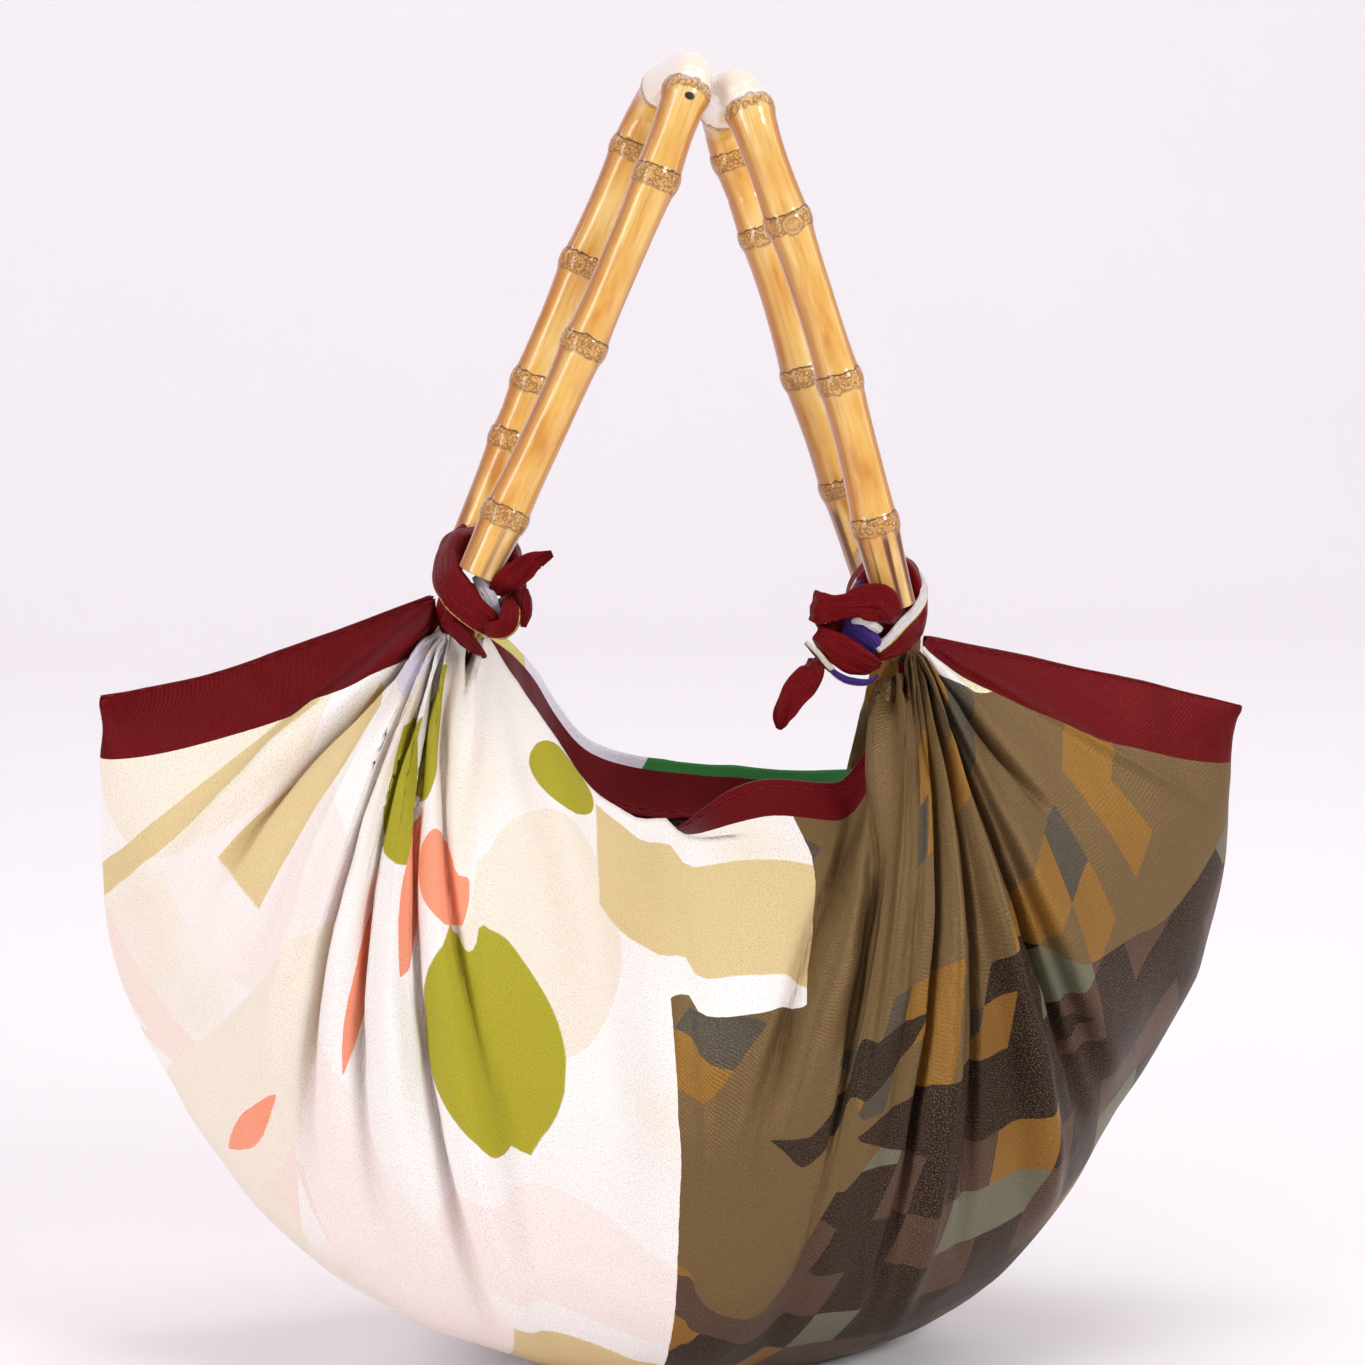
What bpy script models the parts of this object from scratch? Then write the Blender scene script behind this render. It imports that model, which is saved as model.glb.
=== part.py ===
"""Silk scarf bag with two bamboo handles.

One square silk scarf is folded in half and its corners are tied in pairs
round the bottom bar of each handle. The cloth hangs as a half-moon bag that
is open along the top. Units are metres, +Z is up, the front faces -Y and the
origin is the middle of the flat spot that the bag rests on.
"""

import math

import bmesh
import bpy
import numpy as np

MM = 0.001

# Scarf, in millimetres of cloth
SCARF_SIDE = 900.0
HALF_SIDE = SCARF_SIDE / 2
CLOTH_THICK = 1.5
ROLL_DEPTH = 30.0
ROLL_GAP = 5.0
ROLL_TUCK = 0.5

# Handles, in millimetres
CANE_RADIUS = 9.6
LEG_SPREAD = 48.0
BAR_RADIUS = 5.0
BAR_ABOVE_BUTT = 10.0
SOCKET_DEPTH = 7.0
CLEARANCE = 0.3
MERGE_DISTANCE = 0.02

# Fold line of the scarf, which is the outline of the bag. "place" runs along
# the cloth from the middle of the fold; x and z say where that point hangs.
OUTLINE_COLUMNS = ("place", "x", "z")
OUTLINE = [
    (-450, -258, 311),
    (-425, -261, 285),
    (-377, -261, 238),
    (-336, -257, 199),
    (-258, -228, 129),
    (-199, -198, 81),
    (-146, -158, 42),
    (-90, -106, 13),
    (-38, -54, -1),
    (10, -6, -8),
    (60, 44, -9),
    (112, 96, 0),
    (160, 138, 20),
    (215, 182, 66),
    (252, 201, 100),
    (289, 225, 135),
    (335, 246, 177),
    (386, 257, 230),
    (424, 259, 268),
    (450, 261, 293),
]

# Sections of the panels. "along" runs along the top of a panel in millimetres
# of cloth: left wing edge, left gather, mouth edge, right gather, right wing
# edge. A section starts at x, z, "half" in front of or behind "mid", sets off
# towards the aim point and comes down to "place" on the fold line, which it
# meets from "swell" in front or behind and "rise" nearer the middle of the
# panel. "roll" is 1 where the edge is rolled into the bag.
SECTION_COLUMNS = (
    "along", "place", "x", "mid", "half", "z",
    "aim_x", "aim_half", "aim_z", "swell", "rise", "roll",
)
LEFT_SECTIONS = [
    (3, -443, -257, 0, 2, 313, -259, 4, 309, 4, 1, 0),
    (60, -434, -214, -4, 3, 322, -228, 10, 304, 7, 2, 0),
    (115, -418, -165, -9, 4, 338, -196, 20, 306, 15, 4, 0),
    (163, -395, -113, -16, 4, 357, -166, 34, 310, 27, 8, 0),
    (197, -372, -111, -16, 8, 337, -168, 54, 290, 42, 14, 0),
    (263, -322, -109, -16, 10, 332, -172, 76, 266, 61, 22, 0),
    (333, -265, -106, -16, 12, 331, -166, 98, 244, 86, 32, 0),
    (403, -200, -103, -16, 13, 330, -160, 115, 226, 108, 36, 0),
    (463, -135, -99, -16, 13, 330, -152, 126, 212, 130, 32, 0),
    (528, -72, -95, -16, 12, 331, -140, 130, 206, 148, 22, 0),
]
FRONT_MOUTH = [
    (569, -48, -90, -14, 12, 332, -112, 124, 210, 156, 14, 0.6),
    (610, -36, -79, -8, 20, 322, -84, 132, 205, 160, 12, 1),
    (650, -26, -64, -3, 34, 301, -58, 138, 192, 162, 10, 1),
    (690, -15, -47, 0, 42, 275, -38, 142, 178, 164, 8, 1),
    (706, -11, -37, 0, 44, 268, -28, 144, 174, 164, 8, 0.85),
    (718, -8, -28, 0, 45, 263, -18, 145, 170, 165, 8, 0.6),
    (730, -5, -18, 0, 46, 262, -12, 146, 168, 165, 8, 0.36),
    (750, 0, -3, 0, 46, 263, 0, 147, 166, 165, 8, 0.38),
    (775, 7, 20, 0, 46, 266, 14, 147, 166, 165, 8, 0.38),
    (800, 12, 39, 0, 45, 268, 32, 147, 168, 164, 8, 0.22),
    (838, 18, 62, -1, 42, 270, 50, 141, 176, 161, 10, 0),
    (870, 24, 77, -6, 28, 292, 66, 132, 192, 158, 12, 0),
]
BACK_MOUTH = [
    (569, -48, -88, -14, 12, 332, -112, 124, 210, 156, 14, 0.6),
    (610, -36, -75, -6, 24, 323, -84, 132, 205, 160, 12, 1),
    (650, -26, -60, -2, 37, 304, -58, 138, 192, 162, 10, 1),
    (690, -15, -46, 0, 42, 280, -38, 142, 178, 164, 8, 1),
    (732, -5, -14, 0, 45, 270, -8, 146, 168, 165, 8, 1),
    (790, 10, 30, 0, 46, 267, 24, 147, 166, 164, 8, 1),
    (830, 17, 62, 0, 42, 265, 52, 141, 176, 161, 10, 1),
    (856, 22, 78, -2, 36, 266, 68, 136, 188, 158, 12, 1),
    (878, 27, 86, -8, 26, 290, 76, 130, 198, 156, 14, 0.9),
]
RIGHT_SECTIONS = [
    (900, 32, 87, -16, 12, 319, 80, 128, 210, 154, 16, 0.4),
    (960, 55, 90, -16, 13, 321, 86, 130, 212, 148, 22, 0),
    (1020, 92, 93, -16, 13, 321, 102, 129, 212, 136, 30, 0),
    (1080, 140, 96, -16, 13, 321, 122, 120, 214, 117, 36, 0),
    (1140, 205, 99, -16, 12, 321, 140, 106, 226, 96, 34, 0),
    (1190, 262, 102, -16, 11, 322, 152, 88, 244, 76, 28, 0),
    (1235, 322, 104, -16, 9, 323, 162, 66, 264, 55, 20, 0),
    (1267, 368, 106, -16, 7, 325, 166, 46, 278, 37, 14, 0),
    (1301, 396, 109, -16, 4, 334, 172, 32, 292, 25, 9, 0),
    (1349, 420, 168, -9, 4, 320, 200, 19, 290, 14, 5, 0),
    (1405, 436, 216, -4, 3, 308, 232, 10, 289, 7, 2, 0),
    (1461, 443, 261, 0, 2, 296, 262, 4, 292, 4, 1, 0),
]

# Folds of each panel. "top" and "foot" are the places along the panel's top
# where the fold's crest starts and ends, "left" and "right" its half widths in
# millimetres of cloth, "height" its height as a share of its width on the bag,
# less than 0 for a valley, and start, end the shares of the section it covers.
FOLD_COLUMNS = ("top", "foot", "left", "right", "height", "start", "end")
FRONT_FOLDS = [
    (262, 262, 34, 30, 0.30, 0.06, 0.80),
    (325, 325, 24, 26, -0.38, 0.05, 0.62),
    (370, 370, 26, 22, 0.42, 0.03, 0.92),
    (412, 412, 20, 20, -0.45, 0.03, 0.90),
    (452, 452, 22, 18, 0.34, 0.05, 0.95),
    (494, 494, 28, 12, 0.55, 0.02, 0.95),
    (522, 522, 14, 26, -0.30, 0.03, 0.80),
    (948, 944, 14, 34, 0.55, 0.02, 0.85),
    (996, 1000, 22, 20, -0.40, 0.05, 0.85),
    (1040, 1044, 22, 22, 0.42, 0.12, 0.88),
    (1078, 1080, 16, 16, -0.40, 0.12, 0.80),
    (1112, 1112, 18, 18, 0.42, 0.10, 0.88),
    (1148, 1148, 22, 16, -0.50, 0.06, 0.86),
    (1184, 1184, 18, 40, 0.48, 0.05, 0.86),
    (1284, 1284, 22, 26, 0.16, 0.10, 0.98),
]
BACK_FOLDS = [
    (270, 270, 34, 30, 0.30, 0.05, 0.85),
    (330, 330, 26, 26, -0.38, 0.05, 0.80),
    (390, 390, 30, 26, 0.42, 0.03, 0.92),
    (450, 450, 24, 24, -0.42, 0.03, 0.90),
    (505, 505, 26, 22, 0.42, 0.03, 0.95),
    (960, 960, 26, 26, 0.42, 0.03, 0.90),
    (1015, 1015, 24, 24, -0.40, 0.05, 0.85),
    (1070, 1070, 26, 26, 0.42, 0.05, 0.90),
    (1130, 1130, 26, 24, -0.42, 0.05, 0.85),
    (1190, 1190, 26, 34, 0.40, 0.05, 0.86),
]


# Grid of the cloth: rows from the hem to the fold line, the least gap between
# two stations in millimetres of cloth, and how the sections are read
HEM_ROWS = [-1.0, -0.6, -0.3, -0.08]
BODY_ROWS = [0.0, 0.05, 0.12, 0.2, 0.3, 0.4, 0.5, 0.6, 0.7, 0.79, 0.87, 0.94, 1.0]
STATION_GAP = 11.0
AIM_SHIFT = 0.3
PROBE_SHARE = 0.01
FADE_SHARE = 0.04
ROLL_SPACING = 0.6
LEAST_REACH = 0.1
ROLL_EASE = 4.0
SHORTEST = 1e-9


# Curves through tables

def column_of(columns, rows, name):
    """Return one named column of a table as an array."""
    return np.array([row[columns.index(name)] for row in rows], dtype=float)


def smooth(at, knots, values):
    """Read a smooth curve through the table's points, without overshoot."""
    step = np.diff(knots)
    slope = np.diff(values) / step
    tangent = np.zeros(len(knots))
    tangent[0] = slope[0]
    tangent[-1] = slope[-1]
    same_way = slope[:-1] * slope[1:] > 0
    w_before = 2 * step[1:] + step[:-1]
    w_after = step[1:] + 2 * step[:-1]
    safe_before = np.where(same_way, slope[:-1], 1.0)
    safe_after = np.where(same_way, slope[1:], 1.0)
    mean = (w_before + w_after) / (w_before / safe_before + w_after / safe_after)
    tangent[1:-1] = np.where(same_way, mean, 0.0)
    spot = np.clip(np.searchsorted(knots, at) - 1, 0, len(step) - 1)
    share = np.clip((at - knots[spot]) / step[spot], 0.0, 1.0)
    rest = 1 - share
    start = values[spot] * (1 + 2 * share) * rest ** 2
    start += tangent[spot] * step[spot] * share * rest ** 2
    end = values[spot + 1] * (3 - 2 * share) * share ** 2
    end -= tangent[spot + 1] * step[spot] * share ** 2 * rest
    return start + end


def ease(share):
    """Ease from 0 to 1."""
    share = np.clip(share, 0.0, 1.0)
    return share * share * (3 - 2 * share)


# The draped panels

def unit(vectors):
    """Return the vectors at length 1."""
    return vectors / np.maximum(np.linalg.norm(vectors, axis=-1, keepdims=True), SHORTEST)


def bag_panel(side, mouth, folds, along, rows):
    """Return the points of one panel, side -1 for the front and 1 for the back.

    They are an array of stations by rows. Rows from -1 to 0 are the strip
    along the hem, which may be rolled in, and rows from 0 to 1 the rest, down
    to the fold line.
    """
    sections = LEFT_SECTIONS + mouth + RIGHT_SECTIONS
    table = {name: column_of(SECTION_COLUMNS, sections, name) for name in SECTION_COLUMNS}
    read = {name: smooth(along, table["along"], table[name]) for name in SECTION_COLUMNS}
    outline = {name: column_of(OUTLINE_COLUMNS, OUTLINE, name) for name in OUTLINE_COLUMNS}
    foot_x = smooth(read["place"], outline["place"], outline["x"])
    foot_z = smooth(read["place"], outline["place"], outline["z"])
    nothing = np.zeros_like(foot_x)
    top_y = read["mid"] + side * read["half"]
    aim_y = AIM_SHIFT * read["mid"] + side * read["aim_half"]
    top = np.stack([read["x"], top_y, read["z"]], axis=1)
    aim = np.stack([read["aim_x"], aim_y, read["aim_z"]], axis=1)
    foot = np.stack([foot_x, nothing, foot_z], axis=1)
    swell = foot + np.stack([nothing, side * read["swell"], nothing], axis=1)
    swell += unit((aim - foot) * [1, 0, 1]) * read["rise"][:, None]

    def drape(share):
        """Read the section curves at shares of their way down."""
        share = share[..., None]
        rest = 1 - share
        return (rest ** 3 * top[:, None] + 3 * rest ** 2 * share * aim[:, None]
                + 3 * rest * share ** 2 * swell[:, None] + share ** 3 * foot[:, None])

    turn = math.pi * read["roll"][:, None]
    hem_share = ROLL_DEPTH / HALF_SIDE
    edge_share = hem_share * np.maximum(np.cos(turn), 0.0)
    strip = rows[None, :] < 0
    down = np.where(strip, (1 + rows[None, :]) * hem_share,
                    edge_share + rows[None, :] * (1 - edge_share))
    points = drape(down)

    fall = drape(down + PROBE_SHARE) - drape(down - PROBE_SHARE)
    spread = np.gradient(points, along, axis=0)
    outward = unit(np.cross(spread, fall)) * (-side)
    outward *= np.sign(np.mean(outward[..., 1])) * side
    spacing = np.linalg.norm(spread, axis=2)

    lift = np.zeros(points.shape[:2])
    for crest, crest_foot, wide_left, wide_right, height, start, end in folds:
        centre = crest + (crest_foot - crest) * down
        offset = along[:, None] - centre
        wide = np.where(offset < 0, wide_left, wide_right)
        bump = 0.5 + 0.5 * np.cos(math.pi * np.clip(offset / wide, -1.0, 1.0))
        fade = ease(down / (start + FADE_SHARE)) * ease(2 * (end - down) / end)
        mean_width = 0.5 * (wide_left + wide_right)
        lift += height * mean_width * spacing * bump * fade
    points = points + outward * lift[..., None]

    edge = drape(edge_share)
    upward = unit(edge - drape(edge_share + PROBE_SHARE))
    spot = int(np.argmin(np.abs(rows)))
    inward = -outward[:, spot:spot + 1]
    reach = ROLL_DEPTH * np.clip(spacing[:, spot:spot + 1] / ROLL_SPACING, LEAST_REACH, 1.0)
    reach *= 1 - ROLL_TUCK * np.sin(turn)
    deep = np.where(strip, -rows[None, :] * reach, 0.0)[..., None]
    bent = (0.5 - 0.5 * np.cos(turn))[..., None]
    gap = ROLL_GAP * np.sqrt(np.clip(deep / ROLL_GAP, 0.0, 1.0)) * bent
    rolled = edge + deep * (np.cos(turn)[..., None] * upward + np.sin(turn)[..., None] * inward)
    rolled = rolled + gap * inward
    weight = ease(ROLL_EASE * read["roll"])[:, None, None]
    points = np.where(strip[..., None], points * (1 - weight) + rolled * weight, points)
    points[..., 2] = np.maximum(points[..., 2], 0.0)
    return points


def stations():
    """Return the places along the top that get a column of points."""
    wanted = []
    for crest, _, left, right, _, _, _ in FRONT_FOLDS:
        wanted += [crest, crest - left, crest + right]
    wanted += [row[0] for row in LEFT_SECTIONS + FRONT_MOUTH + RIGHT_SECTIONS]
    chosen = []
    for place in wanted:
        if all(abs(place - other) > STATION_GAP for other in chosen):
            chosen.append(place)
    return np.array(sorted(chosen), dtype=float)


def scarf_body():
    """Make the draped cloth from wing to wing as a thin closed shell."""
    along = stations()
    rows = np.array(HEM_ROWS + BODY_ROWS)
    front = bag_panel(-1, FRONT_MOUTH, FRONT_FOLDS, along, rows)
    back = bag_panel(1, BACK_MOUTH, BACK_FOLDS, along, rows)
    outer = np.concatenate([front, back[:, -2::-1]], axis=1)
    across = np.gradient(outer, axis=0)
    down = np.gradient(outer, axis=1)
    normal = unit(np.cross(down, across))
    inner = outer - normal * CLOTH_THICK
    return closed_shell("scarf", outer, inner)


def closed_shell(name, outer, inner):
    """Join two grids of points into one closed mesh with a rim."""
    columns, rows = outer.shape[:2]
    count = columns * rows

    def at(column, row, layer):
        return layer * count + column * rows + row

    faces = []
    for column in range(columns - 1):
        for row in range(rows - 1):
            outside = [at(column, row, 0), at(column, row + 1, 0),
                       at(column + 1, row + 1, 0), at(column + 1, row, 0)]
            inside = [index + count for index in reversed(outside)]
            faces += [outside, inside]
    for column in range(columns - 1):
        for row in (0, rows - 1):
            rim = [at(column, row, 0), at(column + 1, row, 0),
                   at(column + 1, row, 1), at(column, row, 1)]
            faces.append(rim)
    for row in range(rows - 1):
        for column in (0, columns - 1):
            rim = [at(column, row, 0), at(column, row + 1, 0),
                   at(column, row + 1, 1), at(column, row, 1)]
            faces.append(rim)
    points = np.concatenate([outer.reshape(-1, 3), inner.reshape(-1, 3)]) * MM
    mesh = bpy.data.meshes.new(name)
    mesh.from_pydata(points.tolist(), [], faces)
    return mesh_object(name, mesh)


def mesh_object(name, mesh):
    """Clean a mesh, turn its faces outwards and put it in the scene."""
    bm = bmesh.new()
    bm.from_mesh(mesh)
    bmesh.ops.remove_doubles(bm, verts=bm.verts, dist=MERGE_DISTANCE * MM)
    bmesh.ops.triangulate(bm, faces=bm.faces)
    bmesh.ops.recalc_face_normals(bm, faces=bm.faces)
    bm.to_mesh(mesh)
    bm.free()
    mesh.shade_smooth()
    made = bpy.data.objects.new(name, mesh)
    bpy.context.scene.collection.objects.link(made)
    return made


# Round and oval rods

def skin(name, rings, closed):
    """Join rings of points into one closed body, end to end or round a loop."""
    count, sides = rings.shape[:2]
    faces = []
    for step in range(count if closed else count - 1):
        after = (step + 1) % count
        for side in range(sides):
            beside = (side + 1) % sides
            faces.append([step * sides + side, step * sides + beside,
                          after * sides + beside, after * sides + side])
    if not closed:
        first = list(range(sides))
        last = [(count - 1) * sides + side for side in reversed(first)]
        faces += [first, last]
    mesh = bpy.data.meshes.new(name)
    mesh.from_pydata((rings.reshape(-1, 3) * MM).tolist(), [], faces)
    return mesh_object(name, mesh)


def ring_points(centre, ahead, wide_axis, half_wide, half_thick, sides):
    """Set an oval square to the path round each of its points."""
    wide_axis = np.array(wide_axis, dtype=float)
    wide = unit(wide_axis[None, :] - ahead * (ahead @ wide_axis)[:, None])
    thick = np.cross(ahead, wide)
    angles = 2 * math.pi * np.arange(sides) / sides
    across = np.cos(angles)[None, :, None] * (wide * half_wide[:, None])[:, None]
    through = np.sin(angles)[None, :, None] * (thick * half_thick[:, None])[:, None]
    return centre[:, None] + across + through


# Knots

# Each ribbon of a knot is a table of RIBBON_COLUMNS. The loop runs round the
# bar just behind the front leg, and the others overlap it.
RIBBON_COLUMNS = ("x", "y", "z", "half_thick", "half_wide")
KNOT_SIDES = 8
LEFT_KNOT = [
    {"wide": (0, 1, 0), "closed": True, "steps": 24, "rows": [
        (-91.5, -24, 386.1, 1.8, 10),
        (-103.5, -26, 383, 3.6, 11),
        (-108, -31, 370, 6.5, 12),
        (-106, -37, 358, 7.5, 13),
        (-97, -41, 351.5, 8.5, 13),
        (-86, -42, 351, 8.0, 12),
        (-78.5, -36, 362, 6.0, 10),
        (-78.5, -27, 377.5, 3.8, 9),
    ]},
    {"wide": (0, 1, 0), "closed": False, "steps": 8, "rows": [
        (-102, -16, 323, 7, 9),
        (-103, -17, 335, 11, 12.5),
        (-104, -22, 348, 9.5, 13),
        (-104, -30, 358, 6, 11),
    ]},
    {"wide": (0.5, 0.2, 1), "closed": False, "steps": 9, "rows": [
        (-104, -44, 363, 3, 6),
        (-97, -50, 356, 6, 9),
        (-88, -54, 350, 9, 10),
        (-80, -54, 347, 9, 10),
        (-73, -51, 350, 5, 7),
    ]},
    {"wide": (-0.6, 0.2, 1), "closed": False, "steps": 8, "rows": [
        (-84, -52, 352, 3.0, 5.0),
        (-78, -55, 361, 2.4, 6.5),
        (-70, -57, 371, 2.0, 6.0),
        (-61, -57, 379, 1.2, 1.6),
    ]},
]
RIGHT_KNOT = [
    {"wide": (0, 1, 0), "closed": True, "steps": 24, "rows": [
        (87, -24, 370.8, 1.8, 10),
        (97.5, -26, 367, 3.4, 11),
        (101, -30, 356, 5.2, 11),
        (98, -36, 343.5, 6.5, 13),
        (90, -41, 336.5, 8.0, 13),
        (79, -42, 336.5, 8.0, 12),
        (70.5, -35, 345, 5.5, 9.5),
        (73.5, -27, 359, 4.2, 9),
    ]},
    {"wide": (0, 1, 0), "closed": False, "steps": 8, "rows": [
        (96, -16, 313, 7, 9),
        (97, -17, 325, 11, 12.5),
        (97, -22, 335, 9.5, 13),
        (97, -30, 345, 6, 11),
    ]},
    {"wide": (0.6, 0.2, 1), "closed": False, "steps": 9, "rows": [
        (89, -58, 343, 5, 7),
        (81, -66, 350, 7, 9),
        (70, -67, 354, 7, 9),
        (58, -63, 354, 4, 8),
        (48, -61, 354, 3, 8),
    ]},
    {"wide": (0.2, 0.2, 1), "closed": False, "steps": 9, "rows": [
        (91, -50, 338, 5, 7),
        (81, -57, 330, 8, 9),
        (67, -60, 332, 9, 11),
        (56, -58, 338, 5, 7),
    ]},
    {"wide": (1, 0.2, 0.6), "closed": False, "steps": 8, "rows": [
        (58, -58, 334, 4.0, 7),
        (50, -60, 324, 2.6, 8),
        (42, -61, 312, 2.2, 7),
        (36, -61, 301, 1.6, 4),
    ]},
]


def ribbon_body(name, ribbon):
    """Make one ribbon of a knot as a solid of oval section."""
    rows = ribbon["rows"]
    closed = ribbon["closed"]
    table = np.stack([column_of(RIBBON_COLUMNS, rows, column) for column in RIBBON_COLUMNS], axis=1)
    if closed:
        lead = 2
        table = np.concatenate([table[-lead:], table, table[:lead + 1]])
        at = np.linspace(lead, len(rows) + lead, ribbon["steps"] + 1)[:-1]
    else:
        at = np.linspace(0, len(rows) - 1, ribbon["steps"])
    places = np.arange(len(table), dtype=float)
    path = np.stack([smooth(at, places, column) for column in table.T], axis=1)
    centre = path[:, :3]
    if closed:
        ahead = unit(np.roll(centre, -1, axis=0) - np.roll(centre, 1, axis=0))
    else:
        ahead = unit(np.gradient(centre, axis=0))
    half_thick, half_wide = path[:, 3], path[:, 4]
    rings = ring_points(centre, ahead, ribbon["wide"], half_wide, half_thick, KNOT_SIDES)
    return skin(name, rings, closed)


# Handles

# Each cane starts at its butt, leans inwards by "lean" degrees, bows sideways
# by "bow" halfway up, and its back leg stands aside by "turn", and by "toe"
# more at its foot. Its nodes are given by their way up the front and the back leg.
HANDLES = [
    {"side": "left", "butt_x": -97.2, "butt_z": 370, "lean": 24.1, "bow": 2.0, "turn": 0.0,
     "toe": 5.0, "front_nodes": (28, 109, 187, 231), "back_nodes": (55, 83, 141, 197, 224)},
    {"side": "right", "butt_x": 87.5, "butt_z": 352, "lean": -17.1, "bow": 3.5, "turn": 2.4,
     "toe": 6.0, "front_nodes": (38, 103, 176, 230), "back_nodes": (43, 98, 165, 202, 224)},
]
LEG_HEIGHT = 211.0
BEND_HEIGHT = 28.5
BEND_POWER = 2.8
BEND_DROP = 9.0
BEND_STEPS = 17
BEND_LEAD = 6.0
TOE_HEIGHT = 130.0
PATH_STEPS = 60
NODE_SWELL = 0.08
NODE_CORE = 1.6
NODE_FOOT = 8.8
LEAST_STEP = 1.5
CANE_SIDES = 10
BAR_SIDES = 16


def handle_path():
    """Return a dense centreline of a cane in its plane, as y and height."""
    straight = np.linspace(0, LEG_HEIGHT, PATH_STEPS)[:-1]
    front = np.stack([np.full_like(straight, -LEG_SPREAD), straight], axis=1)
    angle = np.linspace(0, math.pi, 4 * PATH_STEPS + 1)
    power = 2 / BEND_POWER
    across = -np.sign(np.cos(angle)) * np.abs(np.cos(angle)) ** power * LEG_SPREAD
    height = LEG_HEIGHT + BEND_HEIGHT * np.abs(np.sin(angle)) ** power
    bend = np.stack([across, height], axis=1)
    back = front[::-1] * [-1, 1]
    path = np.concatenate([front, bend, back])
    towards_back = 0.5 + 0.5 * path[:, 0] / LEG_SPREAD
    path[:, 1] -= BEND_DROP * towards_back * (path[:, 1] / LEG_HEIGHT) ** 2
    return path


def handle_frame(handle):
    """Return the butt point, the way up the cane and the way across it."""
    lean = math.radians(handle["lean"])
    butt = np.array([handle["butt_x"], 0.0, handle["butt_z"]])
    up = np.array([math.sin(lean), 0.0, math.cos(lean)])
    aside = np.array([math.cos(lean), 0.0, -math.sin(lean)])
    return butt, up, aside


def side_offset(handle, y, height):
    """Return how far the cane stands sideways out of its plane."""
    bow = handle["bow"] * math.sin(math.pi * min(height / LEG_HEIGHT, 1.0))
    toe = handle["toe"] * max(0.0, 1 - height / TOE_HEIGHT) ** 2
    return bow + (toe + handle["turn"]) * (0.5 + 0.5 * y / LEG_SPREAD)


def cane(handle):
    """Make one bent bamboo cane, thicker at its nodes."""
    path = handle_path()
    length = np.concatenate([[0], np.cumsum(np.linalg.norm(np.diff(path, axis=0), axis=1))])
    total = length[-1]
    nodes = list(handle["front_nodes"]) + [total - place for place in handle["back_nodes"]]
    bend_start = LEG_HEIGHT - BEND_LEAD
    marks = [0.0, total]
    marks += list(np.linspace(bend_start, total - bend_start, BEND_STEPS))
    for node in nodes:
        marks += [node - NODE_FOOT, node - NODE_CORE, node + NODE_CORE, node + NODE_FOOT]
    kept = []
    for mark in sorted(marks):
        if not kept or mark - kept[-1] > LEAST_STEP:
            kept.append(mark)
    butt, up, aside = handle_frame(handle)
    centre = []
    radius = []
    for mark in kept:
        y = np.interp(mark, length, path[:, 0])
        height = np.interp(mark, length, path[:, 1])
        away = min(abs(mark - node) for node in nodes)
        swell = NODE_SWELL * np.interp(away, [NODE_CORE, NODE_FOOT], [1.0, 0.0])
        centre.append(butt + up * height + np.array([0, y, 0]) + aside * side_offset(handle, y, height))
        radius.append(CANE_RADIUS * (1 + swell))
    return tube("cane_" + handle["side"], np.array(centre), np.array(radius), aside, CANE_SIDES)


def tube(name, centre, radius, aside, sides):
    """Make a round tube along a line of points, with square ends."""
    ahead = unit(np.gradient(centre, axis=0))
    ahead[0] = unit(centre[1] - centre[0])
    ahead[-1] = unit(centre[-1] - centre[-2])
    return skin(name, ring_points(centre, ahead, aside, radius, radius, sides), False)


def bar(handle, name, radius, half_length):
    """Make a round bar across the butts of one cane."""
    butt, up, aside = handle_frame(handle)
    ends = []
    for y in (-LEG_SPREAD, LEG_SPREAD):
        end = butt + up * BAR_ABOVE_BUTT + np.array([0, y, 0])
        ends.append(end + aside * side_offset(handle, y, BAR_ABOVE_BUTT))
    middle = 0.5 * (ends[0] + ends[1])
    run = unit(ends[1] - ends[0])
    centre = np.array([middle - run * half_length, middle + run * half_length])
    return tube(name, centre, np.array([radius, radius]), aside, BAR_SIDES)


def join_by_boolean(target, tool, operation):
    """Add a Boolean modifier and mark its tool as a construction aid."""
    modifier = target.modifiers.new(operation.lower(), "BOOLEAN")
    modifier.operation = operation
    modifier.solver = "EXACT"
    modifier.object = tool
    tool.hide_render = True
    tool.display_type = "WIRE"


def finish(made, colour, roughness):
    """Give a piece its own material."""
    material = bpy.data.materials.new(made.name)
    material.use_nodes = True
    shader = material.node_tree.nodes["Principled BSDF"]
    shader.inputs["Base Color"].default_value = (*colour, 1.0)
    shader.inputs["Roughness"].default_value = roughness
    made.data.materials.clear()
    made.data.materials.append(material)


# The bag

for old in list(bpy.data.objects):
    bpy.data.objects.remove(old)

SILK_COLOUR = (0.82, 0.76, 0.68)
BAMBOO_COLOUR = (0.72, 0.45, 0.16)
DOWEL_COLOUR = (0.60, 0.40, 0.18)

scarf = scarf_body()
for knot_name, knot in (("knot_left", LEFT_KNOT), ("knot_right", RIGHT_KNOT)):
    for number, ribbon in enumerate(knot):
        join_by_boolean(scarf, ribbon_body(f"{knot_name}_{number}", ribbon), "UNION")
finish(scarf, SILK_COLOUR, 0.45)

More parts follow.
